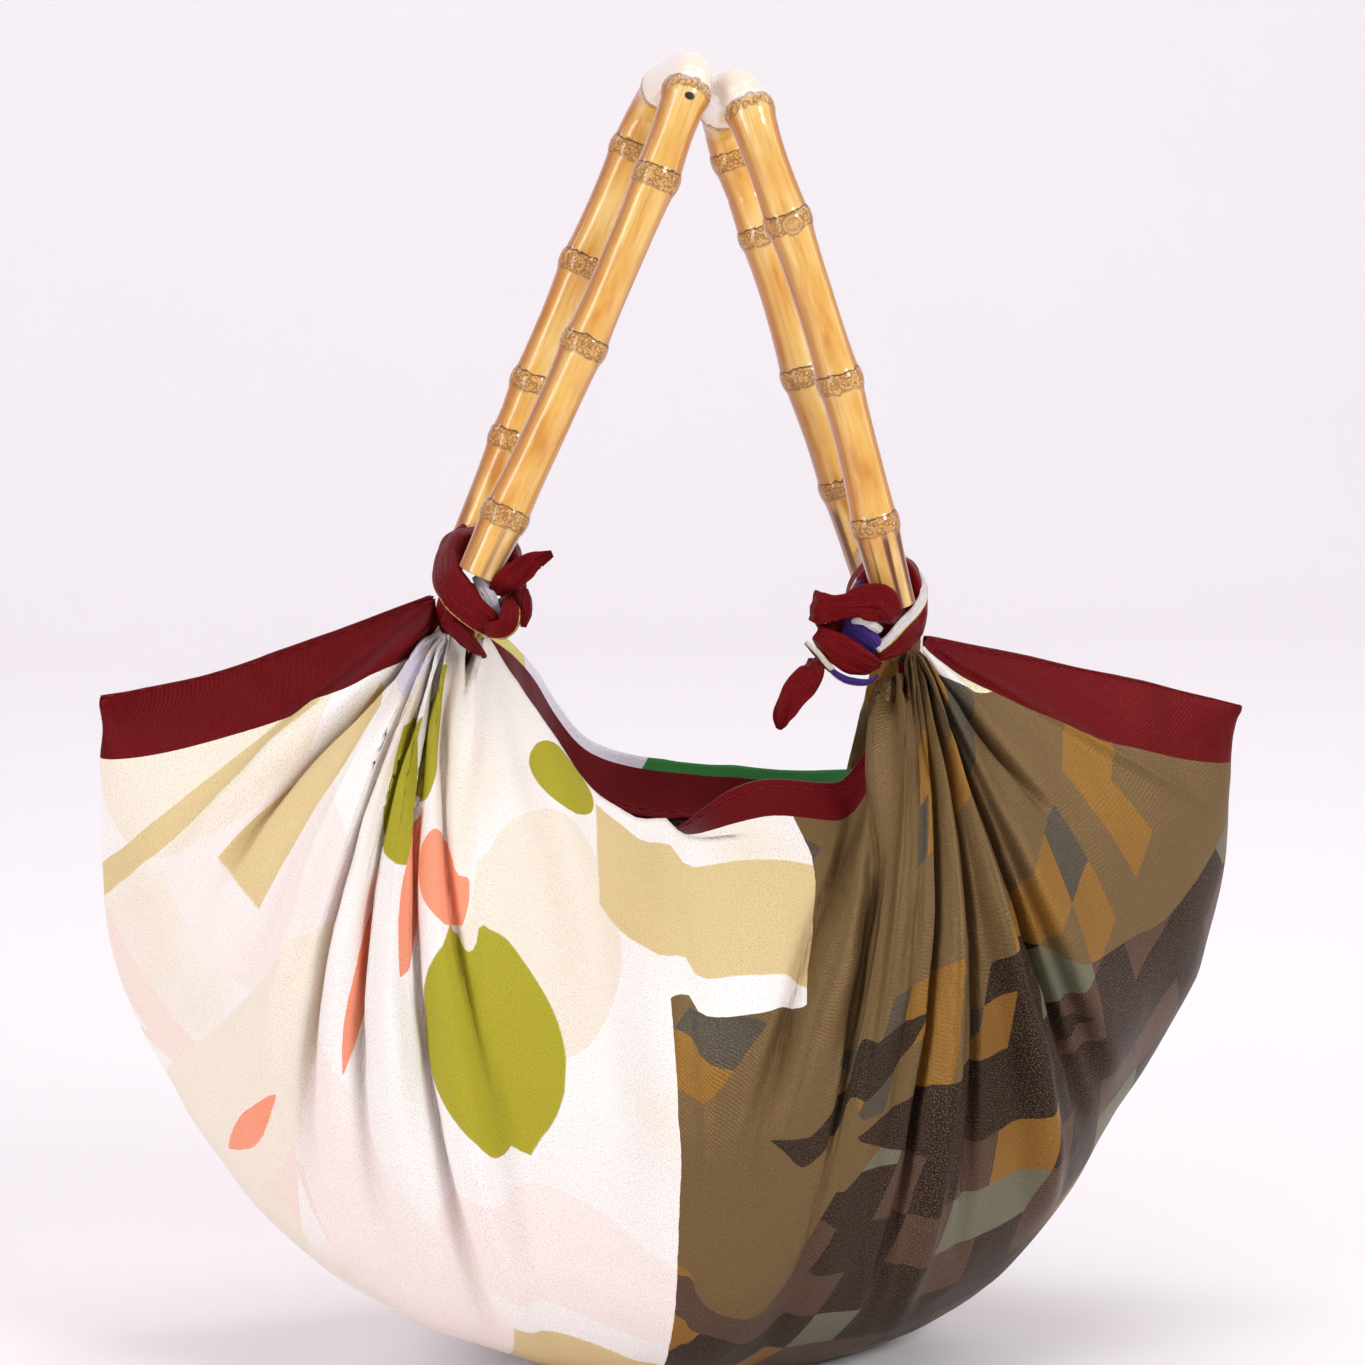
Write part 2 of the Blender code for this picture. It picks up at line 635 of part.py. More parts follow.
SOCKET_FLOOR = LEG_SPREAD - CANE_RADIUS + SOCKET_DEPTH
for handle in HANDLES:
    stick = cane(handle)
    socket = bar(handle, "socket_" + handle["side"], BAR_RADIUS + CLEARANCE, SOCKET_FLOOR)
    join_by_boolean(stick, socket, "DIFFERENCE")
    finish(stick, BAMBOO_COLOUR, 0.25)
    dowel = bar(handle, "bar_" + handle["side"], BAR_RADIUS, SOCKET_FLOOR - CLEARANCE)
    finish(dowel, DOWEL_COLOUR, 0.5)
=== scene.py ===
"""Silk scarf bag with bamboo handles, dressed over its CAD frame.

One printed silk square is folded in half, and each pair of its corners is
knotted round the bottom bar of a bent bamboo handle.
"""

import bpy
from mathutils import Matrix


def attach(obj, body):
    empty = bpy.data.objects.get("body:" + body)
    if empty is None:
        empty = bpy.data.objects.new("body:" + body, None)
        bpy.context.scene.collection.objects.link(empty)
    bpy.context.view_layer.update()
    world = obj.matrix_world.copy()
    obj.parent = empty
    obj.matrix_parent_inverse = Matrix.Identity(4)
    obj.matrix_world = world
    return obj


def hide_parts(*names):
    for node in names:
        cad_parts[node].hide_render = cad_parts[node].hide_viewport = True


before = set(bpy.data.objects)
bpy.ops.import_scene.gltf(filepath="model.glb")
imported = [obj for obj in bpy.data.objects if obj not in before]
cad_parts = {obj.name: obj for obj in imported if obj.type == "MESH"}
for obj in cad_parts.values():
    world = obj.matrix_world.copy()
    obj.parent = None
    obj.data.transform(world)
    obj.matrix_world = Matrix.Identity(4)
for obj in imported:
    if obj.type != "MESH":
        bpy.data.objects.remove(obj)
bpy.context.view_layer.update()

import math

import bmesh
import bpy
import numpy as np
from mathutils import Vector

# Camera

# The photo is square and was taken a little from the left and from above.
# Lengths are in metres and angles in degrees.
CAMERA_TARGET = Vector((0.0, 0.0, 0.313))
CAMERA_AZIMUTH = -9.0
CAMERA_ELEVATION = 9.0
CAMERA_DISTANCE = 1.75
VIEW_WIDTH = 0.61425
SENSOR_WIDTH = 36.0

turned = math.radians(CAMERA_AZIMUTH)
raised = math.radians(CAMERA_ELEVATION)
outwards = Vector((math.sin(turned) * math.cos(raised),
                   -math.cos(turned) * math.cos(raised), math.sin(raised)))
camera_data = bpy.data.cameras.new("camera")
camera_data.sensor_width = SENSOR_WIDTH
camera_data.lens = SENSOR_WIDTH * CAMERA_DISTANCE / VIEW_WIDTH
camera = bpy.data.objects.new("camera", camera_data)
camera.location = CAMERA_TARGET + outwards * CAMERA_DISTANCE
camera.rotation_euler = outwards.to_track_quat("Z", "Y").to_euler()
bpy.context.scene.collection.objects.link(camera)
bpy.context.scene.camera = camera


# Floor, backdrop and light

# A pale paper sweep runs from under the bag up behind it. Soft lamps stand in
# front of the bag, beside it and over it, and two more light the paper behind.
SWEEP_HALF_WIDTH = 6.0
SWEEP_FRONT = -5.0
SWEEP_BACK = 2.2
SWEEP_RADIUS = 1.4
SWEEP_HEIGHT = 5.0
SWEEP_STEPS = 24

# Paper. A scale counts per metre, and a bump is its strength and its depth in metres.
PAPER_COLOUR = (246, 241, 244)
PAPER_CLOUD = (249, 244, 247)
PAPER_CLOUD_SCALE = 3.0
PAPER_TOOTH_SCALE = 900.0
PAPER_TOOTH_BUMP = (0.02, 0.001)

BAG_MIDDLE = (0.0, 0.0, 0.3)
LAMPS = [
    # name, place, aim, width, height, watts
    ("key", (1.5, -1.9, 1.6), BAG_MIDDLE, 0.7, 0.7, 30.0),
    ("left_strip", (-1.7, -1.2, 0.9), BAG_MIDDLE, 0.5, 1.8, 18.0),
    ("right_strip", (1.6, -0.2, 0.9), BAG_MIDDLE, 0.3, 1.8, 4.0),
    ("top", (0.1, -0.1, 2.4), BAG_MIDDLE, 1.4, 1.4, 14.0),
    ("wall_left", (-2.2, 1.0, 2.6), (-0.8, 3.4, 1.2), 1.6, 1.6, 31.0),
    ("wall_right", (2.2, 1.0, 2.6), (0.8, 3.4, 1.2), 1.6, 1.6, 31.0),
]
ROOM_COLOUR = (248, 244, 250)
ROOM_STRENGTH = 0.38


def paint(red, green, blue):
    """Turn a colour of 0 to 255 a channel, as a screen shows it, into light."""
    light = []
    for channel in (red, green, blue):
        share = channel / 255
        light.append(share / 12.92 if share <= 0.04045 else ((share + 0.055) / 1.055) ** 2.4)
    return (*light, 1.0)


class Value:
    """A number or colour on its way through a material, which can be summed."""

    def __init__(self, finish, socket):
        self.finish = finish
        self.socket = socket

    def __add__(self, other):
        return self.finish.maths("ADD", self, other)

    def __radd__(self, other):
        return self.finish.maths("ADD", other, self)

    def __sub__(self, other):
        return self.finish.maths("SUBTRACT", self, other)

    def __rsub__(self, other):
        return self.finish.maths("SUBTRACT", other, self)

    def __mul__(self, other):
        return self.finish.maths("MULTIPLY", self, other)

    def __rmul__(self, other):
        return self.finish.maths("MULTIPLY", other, self)

    def __abs__(self):
        return self.finish.maths("ABSOLUTE", self)

    def __gt__(self, other):
        return self.finish.maths("GREATER_THAN", self, other)

    def __lt__(self, other):
        return self.finish.maths("LESS_THAN", self, other)


class Finish:
    """A material, with its Principled shader and the ways to add nodes to it."""

    def __init__(self, name, **settings):
        self.material = bpy.data.materials.new(name)
        self.material.use_nodes = True
        self.nodes = self.material.node_tree.nodes
        self.links = self.material.node_tree.links
        self.shader = self.nodes["Principled BSDF"]
        for socket, value in settings.items():
            self.shader.inputs[socket.replace("_", " ")].default_value = value

    def node(self, kind, settings=None, values=None, output=0):
        """Add a node with its settings and socket values, and return an output."""
        made = self.nodes.new(kind)
        for setting, value in (settings or {}).items():
            setattr(made, setting, value)
        for socket, value in (values or {}).items():
            self.feed(made.inputs[socket], value)
        return Value(self, made.outputs[output])

    def feed(self, socket, value):
        """Link a value into a socket, or set the socket to a plain number."""
        if isinstance(value, Value):
            self.links.new(value.socket, socket)
        else:
            socket.default_value = value

    def give(self, **values):
        """Feed the shader's sockets."""
        for socket, value in values.items():
            self.feed(self.shader.inputs[socket.replace("_", " ")], value)

    def maths(self, operation, *values):
        """Add a Math node."""
        return self.node("ShaderNodeMath", {"operation": operation}, dict(enumerate(values)))

    def clamp(self, value, low, high):
        """Turn a value into 0 at low, 1 at high and a smooth step between."""
        return self.node("ShaderNodeMapRange", {"interpolation_type": "SMOOTHSTEP"},
                         {0: value, 1: low, 2: high})

    def line(self, value, at, edge):
        """Turn a value into 1 near a number, and 0 where it is an edge away."""
        return 1 - self.clamp(abs(value - at), *edge)

    def mix(self, factor, first, second):
        """Mix two colours."""
        return self.node("ShaderNodeMix", {"data_type": "RGBA"}, {0: factor, 6: first, 7: second}, 2)

    def noise(self, vector, scale, detail=2.0, roughness=0.5, output=0):
        """Add a Noise Texture and return its grey value, or its colour at output 1."""
        return self.node("ShaderNodeTexNoise", {}, {
            "Vector": vector, "Scale": scale, "Detail": detail, "Roughness": roughness}, output)

    def vector_maths(self, operation, *values, output=0):
        """Add a Vector Math node, whose number is at output 1."""
        return self.node("ShaderNodeVectorMath", {"operation": operation}, dict(enumerate(values)), output)

    def stretch(self, vector, scale):
        """Scale a vector by three numbers."""
        return self.vector_maths("MULTIPLY", vector, scale)

    def split(self, vector):
        """Return a vector's three parts."""
        made = self.node("ShaderNodeSeparateXYZ", {}, {0: vector})
        return [Value(self, output) for output in made.socket.node.outputs]

    def on_object(self):
        """Return the place on the object."""
        return self.node("ShaderNodeTexCoord", output=3)

    def on_cloth(self):
        """Return the place on the flat cloth."""
        return self.node("ShaderNodeUVMap", {"uv_map": "flat_cloth"})

    def attribute(self, name, output=2):
        """Return an attribute of the mesh, a number at output 2 or a vector at 1."""
        return self.node("ShaderNodeAttribute", {"attribute_name": name}, output=output)

    def ramp(self, value, stops, interpolation="LINEAR"):
        """Add a Color Ramp with stops of place and colour."""
        ramp = self.node("ShaderNodeValToRGB", {}, {0: value})
        band = ramp.socket.node.color_ramp
        band.interpolation = interpolation
        while len(band.elements) < len(stops):
            band.elements.new(0.5)
        for element, (place, colour) in zip(band.elements, stops):
            element.position = place
            element.color = colour
        return ramp

    def bump(self, height, strength, distance, normal=None):
        """Add a Bump node and return its normal."""
        values = {"Height": height, "Strength": strength, "Distance": distance}
        if normal is not None:
            values["Normal"] = normal
        return self.node("ShaderNodeBump", {}, values)


def mesh_piece(name, points, faces, material):
    """Make a smooth mesh object at the origin from points in metres."""
    mesh = bpy.data.meshes.new(name)
    mesh.from_pydata(np.asarray(points).reshape(-1, 3).tolist(), [], faces)
    mesh.shade_smooth()
    mesh.materials.append(material)
    made = bpy.data.objects.new(name, mesh)
    bpy.context.scene.collection.objects.link(made)
    return made


paper = Finish("paper_sweep", Roughness=0.9)
paper_place = paper.on_object()
clouds = paper.noise(paper_place, PAPER_CLOUD_SCALE)
paper.give(Base_Color=paper.mix(clouds, paint(*PAPER_COLOUR), paint(*PAPER_CLOUD)))
paper.give(Normal=paper.bump(paper.noise(paper_place, PAPER_TOOTH_SCALE), *PAPER_TOOTH_BUMP))

arc = np.linspace(0, math.pi / 2, SWEEP_STEPS)
profile = [(SWEEP_FRONT, 0.0)]
profile += [(SWEEP_BACK + SWEEP_RADIUS * math.sin(turn), SWEEP_RADIUS * (1 - math.cos(turn)))
            for turn in arc]
profile.append((SWEEP_BACK + SWEEP_RADIUS, SWEEP_HEIGHT))
sweep_points = [(x, y, z) for y, z in profile for x in (-SWEEP_HALF_WIDTH, SWEEP_HALF_WIDTH)]
sweep_faces = [(2 * row, 2 * row + 1, 2 * row + 3, 2 * row + 2) for row in range(len(profile) - 1)]
sweep = mesh_piece("paper_sweep", sweep_points, sweep_faces, paper.material)

for name, place, aim, width, height, watts in LAMPS:
    light = bpy.data.lights.new(name, "AREA")
    light.shape = "RECTANGLE"
    light.energy = watts
    light.size = width
    light.size_y = height
    holder = bpy.data.objects.new(name, light)
    holder.location = place
    facing = Vector(aim) - holder.location
    holder.rotation_euler = facing.to_track_quat("-Z", "Y").to_euler()
    bpy.context.scene.collection.objects.link(holder)
room = bpy.data.worlds.new("room")
room.use_nodes = True
room.node_tree.nodes["Background"].inputs["Color"].default_value = paint(*ROOM_COLOUR)
room.node_tree.nodes["Background"].inputs["Strength"].default_value = ROOM_STRENGTH
bpy.context.scene.world = room
bpy.context.scene.view_settings.view_transform = "Standard"


# Scarf

# A 90 cm square of printed silk twill with a wide maroon border and a narrow
# hem, folded in half. It hangs from its knots in a half-moon, and falls into
# deep folds that run out from them. Lengths are in millimetres of cloth.
MM = 0.001
HALF_SIDE = 450.0
KNOT_LEG = 287.0
SILK_THICK = 0.7
HEM_WIDE = 3.6
HEM_PUFF = 0.75

# Places along a panel's top: the left wing, the left knot, the mouth, the
# right knot and the right wing
WING = HALF_SIDE - KNOT_LEG
KNOT_RUN = 406.0
MOUTH_START = WING + KNOT_RUN
MOUTH_END = MOUTH_START + 2 * WING
RIGHT_WING = MOUTH_END + KNOT_RUN
PANEL_LENGTH = RIGHT_WING + WING
END_INSET = 3.0

# The strip along the hem, which is rolled in at the mouth
ROLL_DEPTH = 28.0
STRIP_SHARE = ROLL_DEPTH / HALF_SIDE
ROLL_GAP = 3.0
ROLL_TUCK = 0.15
HANG_IN = 0.6
ROLL_SPACING = 0.6
LEAST_REACH = 0.1
ROLL_EASE = 4.0

# How the hanging curves are read
AIM_SHIFT = 0.3
PROBE_SHARE = 0.01
CURVE_STEPS = 80
SHORTEST = 1e-9

# Fold line of the scarf. "place" runs along the cloth from the fold's middle.
OUTLINE_COLUMNS = ("place", "x", "z")
OUTLINE = [
    (-450, -260, 311),
    (-438, -259, 299),
    (-425, -261, 285),
    (-377, -261, 238),
    (-336, -257, 199),
    (-258, -228, 129),
    (-199, -198, 81),
    (-146, -158, 42),
    (-90, -106, 13),
    (-38, -54, -1),
    (10, -6, -8),
    (60, 44, -9),
    (112, 96, 0),
    (160, 138, 20),
    (215, 182, 66),
    (252, 201, 100),
    (289, 225, 135),
    (335, 246, 177),
    (386, 256, 230),
    (424, 257, 268),
    (437, 258, 281),
    (450, 261, 293),
]

# Sections of the panels, at places "along" their top. A section starts at x, z
# and "half" in front of or behind "mid", sets off towards the aim point and
# meets the fold line at "place". "roll" is 1 where the edge is rolled in.
SECTION_COLUMNS = (
    "along", "place", "x", "mid", "half", "z",
    "aim_x", "aim_half", "aim_z", "swell", "rise", "roll",
)
LEFT_SECTIONS = [
    (3, -447, -259, 0, 2, 313, -260, 3, 311, 2, 0, 0),
    (60, -434, -214, -4, 3, 322, -228, 10, 304, 7, 2, 0),
    (115, -418, -165, -9, 4, 338, -196, 20, 306, 15, 4, 0),
    (163, -395, -113, -16, 4, 357, -166, 34, 310, 27, 8, 0),
    (197, -372, -112, -16, 8, 345, -168, 54, 290, 42, 14, 0),
    (263, -322, -111, -16, 10, 343, -172, 76, 266, 61, 22, 0),
    (333, -265, -110, -16, 11, 342, -166, 98, 244, 86, 32, 0),
    (403, -200, -108.5, -16, 11, 342, -160, 115, 226, 108, 36, 0),
    (463, -135, -107, -16, 11, 342, -152, 126, 212, 130, 32, 0),
    (528, -72, -100, -16, 11, 342, -140, 130, 206, 148, 22, 0),
]
FRONT_MOUTH = [
    (569, -48, -91, -14, 11, 341, -112, 124, 210, 156, 14, 0.6),
    (610, -36, -79, -8, 20, 322, -84, 132, 205, 160, 12, 1),
    (650, -26, -64, -3, 34, 301, -58, 138, 192, 162, 10, 1),
    (690, -15, -47, 0, 42, 275, -38, 142, 178, 164, 8, 1),
    (710, -10, -35, 0, 44, 266, -26, 144, 174, 164, 8, 1),
    (722, -7, -26, 0, 45, 261, -16, 145, 170, 165, 8, 0.85),
    (734, -4, -16, 0, 41, 260, -10, 146, 168, 165, 8, 0.55),
    (750, 0, -3, 0, 31, 266, 0, 147, 166, 165, 8, 0.24),
    (775, 7, 18, 0, 27, 272, 14, 147, 166, 165, 8, 0.1),
    (800, 12, 36, 0, 30, 274, 32, 147, 168, 164, 8, 0.02),
    (838, 18, 62, -1, 38, 273, 50, 141, 176, 161, 10, 0),
    (870, 24, 81, -6, 26, 294, 68, 132, 192, 158, 12, 0),
    (900, 32, 91, -16, 11, 327, 78, 128, 210, 154, 16, 0.4),
]
BACK_MOUTH = [
    (569, -48, -89, -14, 11, 341, -112, 124, 210, 156, 14, 0.6),
    (610, -36, -68, -6, 24, 324, -80, 132, 205, 160, 12, 1),
    (650, -26, -52, -2, 37, 300, -54, 138, 192, 162, 10, 1),
    (690, -15, -33, 0, 42, 279, -34, 142, 178, 164, 8, 1),
    (732, -5, -5, 0, 45, 271, -8, 146, 168, 165, 8, 1),
    (790, 10, 30, 0, 46, 267, 24, 147, 166, 164, 8, 1),
    (830, 17, 66, 0, 42, 264, 54, 141, 176, 161, 10, 1),
    (856, 22, 87, -2, 36, 266, 82, 136, 188, 158, 12, 1),
    (878, 27, 95, -8, 26, 290, 96, 130, 198, 156, 14, 0.9),
    (900, 32, 94, -16, 11, 327, 100, 128, 210, 154, 16, 0.4),
]
RIGHT_SECTIONS = [
    (950, 50, 97, -16, 11, 329, 90, 130, 212, 148, 22, 0),
    (1020, 92, 99.5, -16, 11, 330, 102, 129, 212, 136, 30, 0),
    (1080, 140, 101, -16, 11, 330, 122, 120, 214, 117, 36, 0),
    (1140, 205, 102, -16, 11, 330, 140, 106, 226, 96, 34, 0),
    (1190, 262, 103.5, -16, 10, 330, 152, 88, 244, 76, 28, 0),
    (1235, 322, 105, -16, 9, 330, 162, 66, 264, 55, 20, 0),
    (1267, 368, 106, -16, 7, 331, 166, 46, 278, 37, 14, 0),
    (1301, 396, 109, -16, 4, 334, 172, 32, 292, 25, 9, 0),
    (1349, 420, 168, -9, 4, 320, 200, 19, 290, 14, 5, 0),
    (1405, 436, 216, -4, 3, 308, 232, 10, 289, 7, 2, 0),
    (1461, 447, 261, 0, 2, 296, 261, 3, 294, 2, 0, 0),
]

# Folds. at_0 to at_90 are the places along the top where the crest lies at
# that many hundredths of the way down, left and right its half widths, height
# its height as a share of its width on the bag, less than 0 for a valley, lean
# how far it tips to the right, and start, end the shares that it covers.
FOLD_COLUMNS = ("at_0", "at_25", "at_50", "at_90", "left", "right", "height", "lean", "start", "end")
FOLD_SHARES = (0.0, 0.25, 0.5, 0.9)
FRONT_FOLDS = [
    (184, 178, 196, 250, 26, 16, 0.51, 0.0, 0.02, 0.84),
    (194, 198, 232, 296, 14, 22, -0.75, 0.0, 0.03, 0.66),
    (210, 288, 345, 392, 34, 26, 0.68, 0.0, 0.02, 0.80),
    (262, 336, 388, 452, 15, 15, -1.00, 0.0, 0.05, 0.86),
    (300, 366, 416, 480, 18, 18, 0.77, 0.0, 0.03, 0.70),
    (345, 400, 440, 500, 14, 14, -1.00, 0.0, 0.03, 0.78),
    (385, 440, 476, 512, 20, 18, 0.88, 0.0, 0.01, 0.72),
    (424, 480, 506, 536, 14, 12, -1.06, 0.0, 0.02, 0.88),
    (452, 508, 534, 566, 20, 20, 0.83, 0.2, 0.01, 0.85),
    (490, 536, 560, 590, 12, 16, -0.55, 0.0, 0.08, 0.58),
    (735, 700, 690, 680, 34, 34, -0.12, 0.0, 0.02, 0.60),
    (600, 636, 630, 620, 30, 30, -0.10, 0.0, 0.08, 0.40),
    (866, 806, 776, 764, 22, 16, -0.50, 0.0, 0.08, 0.50),
    (892, 834, 806, 794, 12, 34, 0.46, 0.0, 0.16, 0.56),
    (900, 868, 884, 905, 14, 14, -0.94, 0.0, 0.02, 0.66),
    (950, 934, 930, 932, 30, 44, 0.34, 0.0, 0.04, 0.85),
    (1000, 985, 975, 965, 12, 12, -0.25, 0.0, 0.26, 0.70),
    (1040, 1030, 1008, 1000, 13, 13, -1.06, 0.0, 0.03, 0.84),
    (1064, 1056, 1038, 1030, 14, 14, 1.50, 0.0, 0.02, 0.90),
    (1086, 1082, 1070, 1066, 12, 12, -1.06, 0.0, 0.03, 0.80),
    (1108, 1112, 1118, 1130, 15, 15, 1.50, 0.0, 0.03, 0.90),
    (1134, 1142, 1152, 1162, 14, 12, -1.25, 0.0, 0.02, 0.92),
    (1160, 1172, 1182, 1190, 14, 44, 0.57, -0.4, 0.02, 0.88),
    (1212, 1222, 1228, 1234, 12, 12, -0.62, 0.0, 0.02, 0.40),
    (1286, 1298, 1305, 1310, 11, 13, 0.60, 0.0, 0.04, 1.00),
]
BACK_FOLDS = [
    (200, 222, 234, 244, 24, 24, 0.66, 0.0, 0.02, 0.80),
    (232, 258, 270, 280, 13, 13, -1.00, 0.0, 0.03, 0.76),
    (270, 292, 306, 318, 24, 24, 0.68, 0.0, 0.02, 0.85),
    (308, 328, 342, 354, 13, 13, -1.06, 0.0, 0.03, 0.84),
    (345, 364, 376, 386, 22, 22, 0.77, 0.0, 0.02, 0.80),
    (385, 402, 412, 420, 13, 13, -1.06, 0.0, 0.02, 0.78),
    (422, 438, 446, 452, 22, 22, 0.79, 0.0, 0.02, 0.88),
    (460, 474, 480, 486, 13, 13, -1.06, 0.0, 0.02, 0.80),
    (498, 508, 514, 520, 24, 22, 0.66, 0.0, 0.02, 0.90),
    (536, 548, 556, 564, 13, 16, -0.62, 0.0, 0.02, 0.56),
    (660, 670, 676, 680, 40, 40, -0.10, 0.0, 0.05, 0.50),
    (800, 792, 786, 780, 40, 40, 0.10, 0.0, 0.05, 0.60),
    (922, 916, 910, 905, 14, 14, -0.75, 0.0, 0.02, 0.60),
    (960, 952, 948, 944, 24, 24, 0.66, 0.0, 0.02, 0.85),
    (1000, 992, 986, 980, 13, 13, -1.06, 0.0, 0.02, 0.80),
    (1038, 1030, 1024, 1018, 22, 22, 0.79, 0.0, 0.02, 0.84),
    (1076, 1068, 1062, 1056, 13, 13, -1.06, 0.0, 0.02, 0.82),
    (1112, 1106, 1100, 1095, 22, 22, 0.77, 0.0, 0.02, 0.86),
    (1150, 1144, 1138, 1134, 13, 13, -1.06, 0.0, 0.02, 0.78),
    (1190, 1184, 1178, 1174, 24, 30, 0.62, 0.0, 0.02, 0.84),
    (1230, 1226, 1222, 1218, 12, 12, -0.75, 0.0, 0.02, 0.44),
]

# Small pleats that the knots crush into the cloth, between the first and last
# place of each gather. A valley is a tuck, as deep as its cloth lets it be,
# and a ridge is as high as a share of its width on the bag.
GATHERS = [(176, 560), (908, 1290)]
PLEAT_GAP = (26.0, 46.0)
PLEAT_HEIGHT = (0.08, 0.18)
PLEAT_END = (0.12, 0.34)
PLEAT_DRIFT = 8.0
PLEAT_SEEDS = {-1: 11, 1: 23}
RIDGE_SPACING = 0.22
LEAST_TUCK = 0.05
LEAST_PULL = 0.45
TUCK_CLOSING = 0.3
TUCK_PULL = 0.75
TUCK_PULL_REACH = 2.4
TUCK_REACH = 0.8
# Depth of a tuck, in millimetres, at which its painted shade is full
TUCK_SHADE_DEPTH = 9.0
FADE_SHARE = 0.02

# Slight unevenness of the silk, in millimetres of height and of length
CRUMPLE_DEPTH = 0.55
CRUMPLE_LENGTH = (24.0, 70.0)
CRUMPLE_WAVES = 14
CRUMPLE_SHARP = 0.8
CRUMPLE_SEED = 3

# Steps along the top, and rows down from the hem
WING_STEP = 5.0
GATHER_STEP = 3.6
MOUTH_STEP = 5.6
HEM_ROWS = [-1.0, -0.965, -0.93, -0.88, -0.8333, -0.74, -0.62, -0.5, -0.38, -0.27, -0.17, -0.08, -0.03]
BODY_ROWS = [0.0, 0.008, 0.018, 0.03, 0.045, 0.06, 0.08, 0.1, 0.12, 0.14, 0.16, 0.18, 0.2, 0.222,
             0.245, 0.27, 0.295, 0.32, 0.345, 0.37, 0.395, 0.42, 0.445, 0.47, 0.495, 0.52, 0.545,
             0.57, 0.595, 0.62, 0.645, 0.67, 0.695, 0.72, 0.745, 0.77, 0.79, 0.81, 0.83, 0.85,
             0.87, 0.89, 0.91, 0.93, 0.95, 0.965, 0.98, 0.99, 1.0]


def column_of(columns, rows, name):
    """Return one named column of a table as an array."""
    return np.array([row[columns.index(name)] for row in rows], dtype=float)


def smooth(at, knots, values):
    """Read a smooth curve through the table's points, without overshoot."""
    step = np.diff(knots)
    slope = np.diff(values) / step
    tangent = np.zeros(len(knots))
    tangent[0] = slope[0]
    tangent[-1] = slope[-1]
    same_way = slope[:-1] * slope[1:] > 0
    w_before = 2 * step[1:] + step[:-1]
    w_after = step[1:] + 2 * step[:-1]
    safe_before = np.where(same_way, slope[:-1], 1.0)
    safe_after = np.where(same_way, slope[1:], 1.0)
    mean = (w_before + w_after) / (w_before / safe_before + w_after / safe_after)
    tangent[1:-1] = np.where(same_way, mean, 0.0)
    spot = np.clip(np.searchsorted(knots, at) - 1, 0, len(step) - 1)
    share = np.clip((at - knots[spot]) / step[spot], 0.0, 1.0)
    rest = 1 - share
    start = values[spot] * (1 + 2 * share) * rest ** 2
    start += tangent[spot] * step[spot] * share * rest ** 2
    end = values[spot + 1] * (3 - 2 * share) * share ** 2
    end -= tangent[spot + 1] * step[spot] * share ** 2 * rest
    return start + end


def ease(share):
    """Ease from 0 to 1."""
    share = np.clip(share, 0.0, 1.0)
    return share * share * (3 - 2 * share)


def unit(vectors):
    """Return the vectors at length 1."""
    return vectors / np.maximum(np.linalg.norm(vectors, axis=-1, keepdims=True), SHORTEST)


def gather_pleats(seed):
    """Return small pleats for both gathers, as rows of the fold table."""
    dice = np.random.default_rng(seed)
    pleats = []
    for first, last in GATHERS:
        place = first
        sign = 1.0
        while place < last:
            gap = dice.uniform(*PLEAT_GAP)
            height = sign * dice.uniform(*PLEAT_HEIGHT)
            end = dice.uniform(*PLEAT_END)
            drift = dice.uniform(-PLEAT_DRIFT, PLEAT_DRIFT)
            pleats.append((place, place + drift, place + 2 * drift, place + 2 * drift,
                           gap, gap, height, 0.0, 0.0, end))
            place += gap
            sign = -sign
    return pleats


def crumple_height(flat):
    """Return an uneven height for each place of the flat cloth, without repeats."""
    dice = np.random.default_rng(CRUMPLE_SEED)
    height = np.zeros(flat.shape[:-1])
    for _ in range(CRUMPLE_WAVES):
        heading = unit(dice.normal(size=flat.shape[-1]))
        length = dice.uniform(*CRUMPLE_LENGTH)
        start = dice.uniform(0, 2 * math.pi)
        phase = 2 * math.pi * (flat @ heading) / length + start
        height += 1 - 2 * np.abs(np.sin(phase / 2)) ** CRUMPLE_SHARP
    return CRUMPLE_DEPTH * height / math.sqrt(CRUMPLE_WAVES)


def read_sections(mouth, along):
    """Return each column of the section table, read at places along the top."""
    sections = LEFT_SECTIONS + mouth + RIGHT_SECTIONS
    table = {name: column_of(SECTION_COLUMNS, sections, name) for name in SECTION_COLUMNS}
    return {name: smooth(along, table["along"], table[name]) for name in SECTION_COLUMNS}


def curve_corners(read, side):
    """Return the four points that draw each section's curve, from top to fold line."""
    outline = {name: column_of(OUTLINE_COLUMNS, OUTLINE, name) for name in OUTLINE_COLUMNS}
    foot_x = smooth(read["place"], outline["place"], outline["x"])
    foot_z = smooth(read["place"], outline["place"], outline["z"])
    nothing = np.zeros_like(foot_x)
    top_y = read["mid"] + side * read["half"]
    aim_y = AIM_SHIFT * read["mid"] + side * read["aim_half"]
    top = np.stack([read["x"], top_y, read["z"]], axis=1)
    aim = np.stack([read["aim_x"], aim_y, read["aim_z"]], axis=1)
    foot = np.stack([foot_x, nothing, foot_z], axis=1)
    swell = foot + np.stack([nothing, side * read["swell"], nothing], axis=1)
    swell += unit((aim - foot) * [1, 0, 1]) * read["rise"][:, None]
    return [corner[:, None] for corner in (top, aim, swell, foot)]


def drape(corners, share):
    """Read the section curves at shares of their way down."""
    top, aim, swell, foot = corners
    share = share[..., None]
    rest = 1 - share
    return (rest ** 3 * top + 3 * rest ** 2 * share * aim
            + 3 * rest * share ** 2 * swell + share ** 3 * foot)


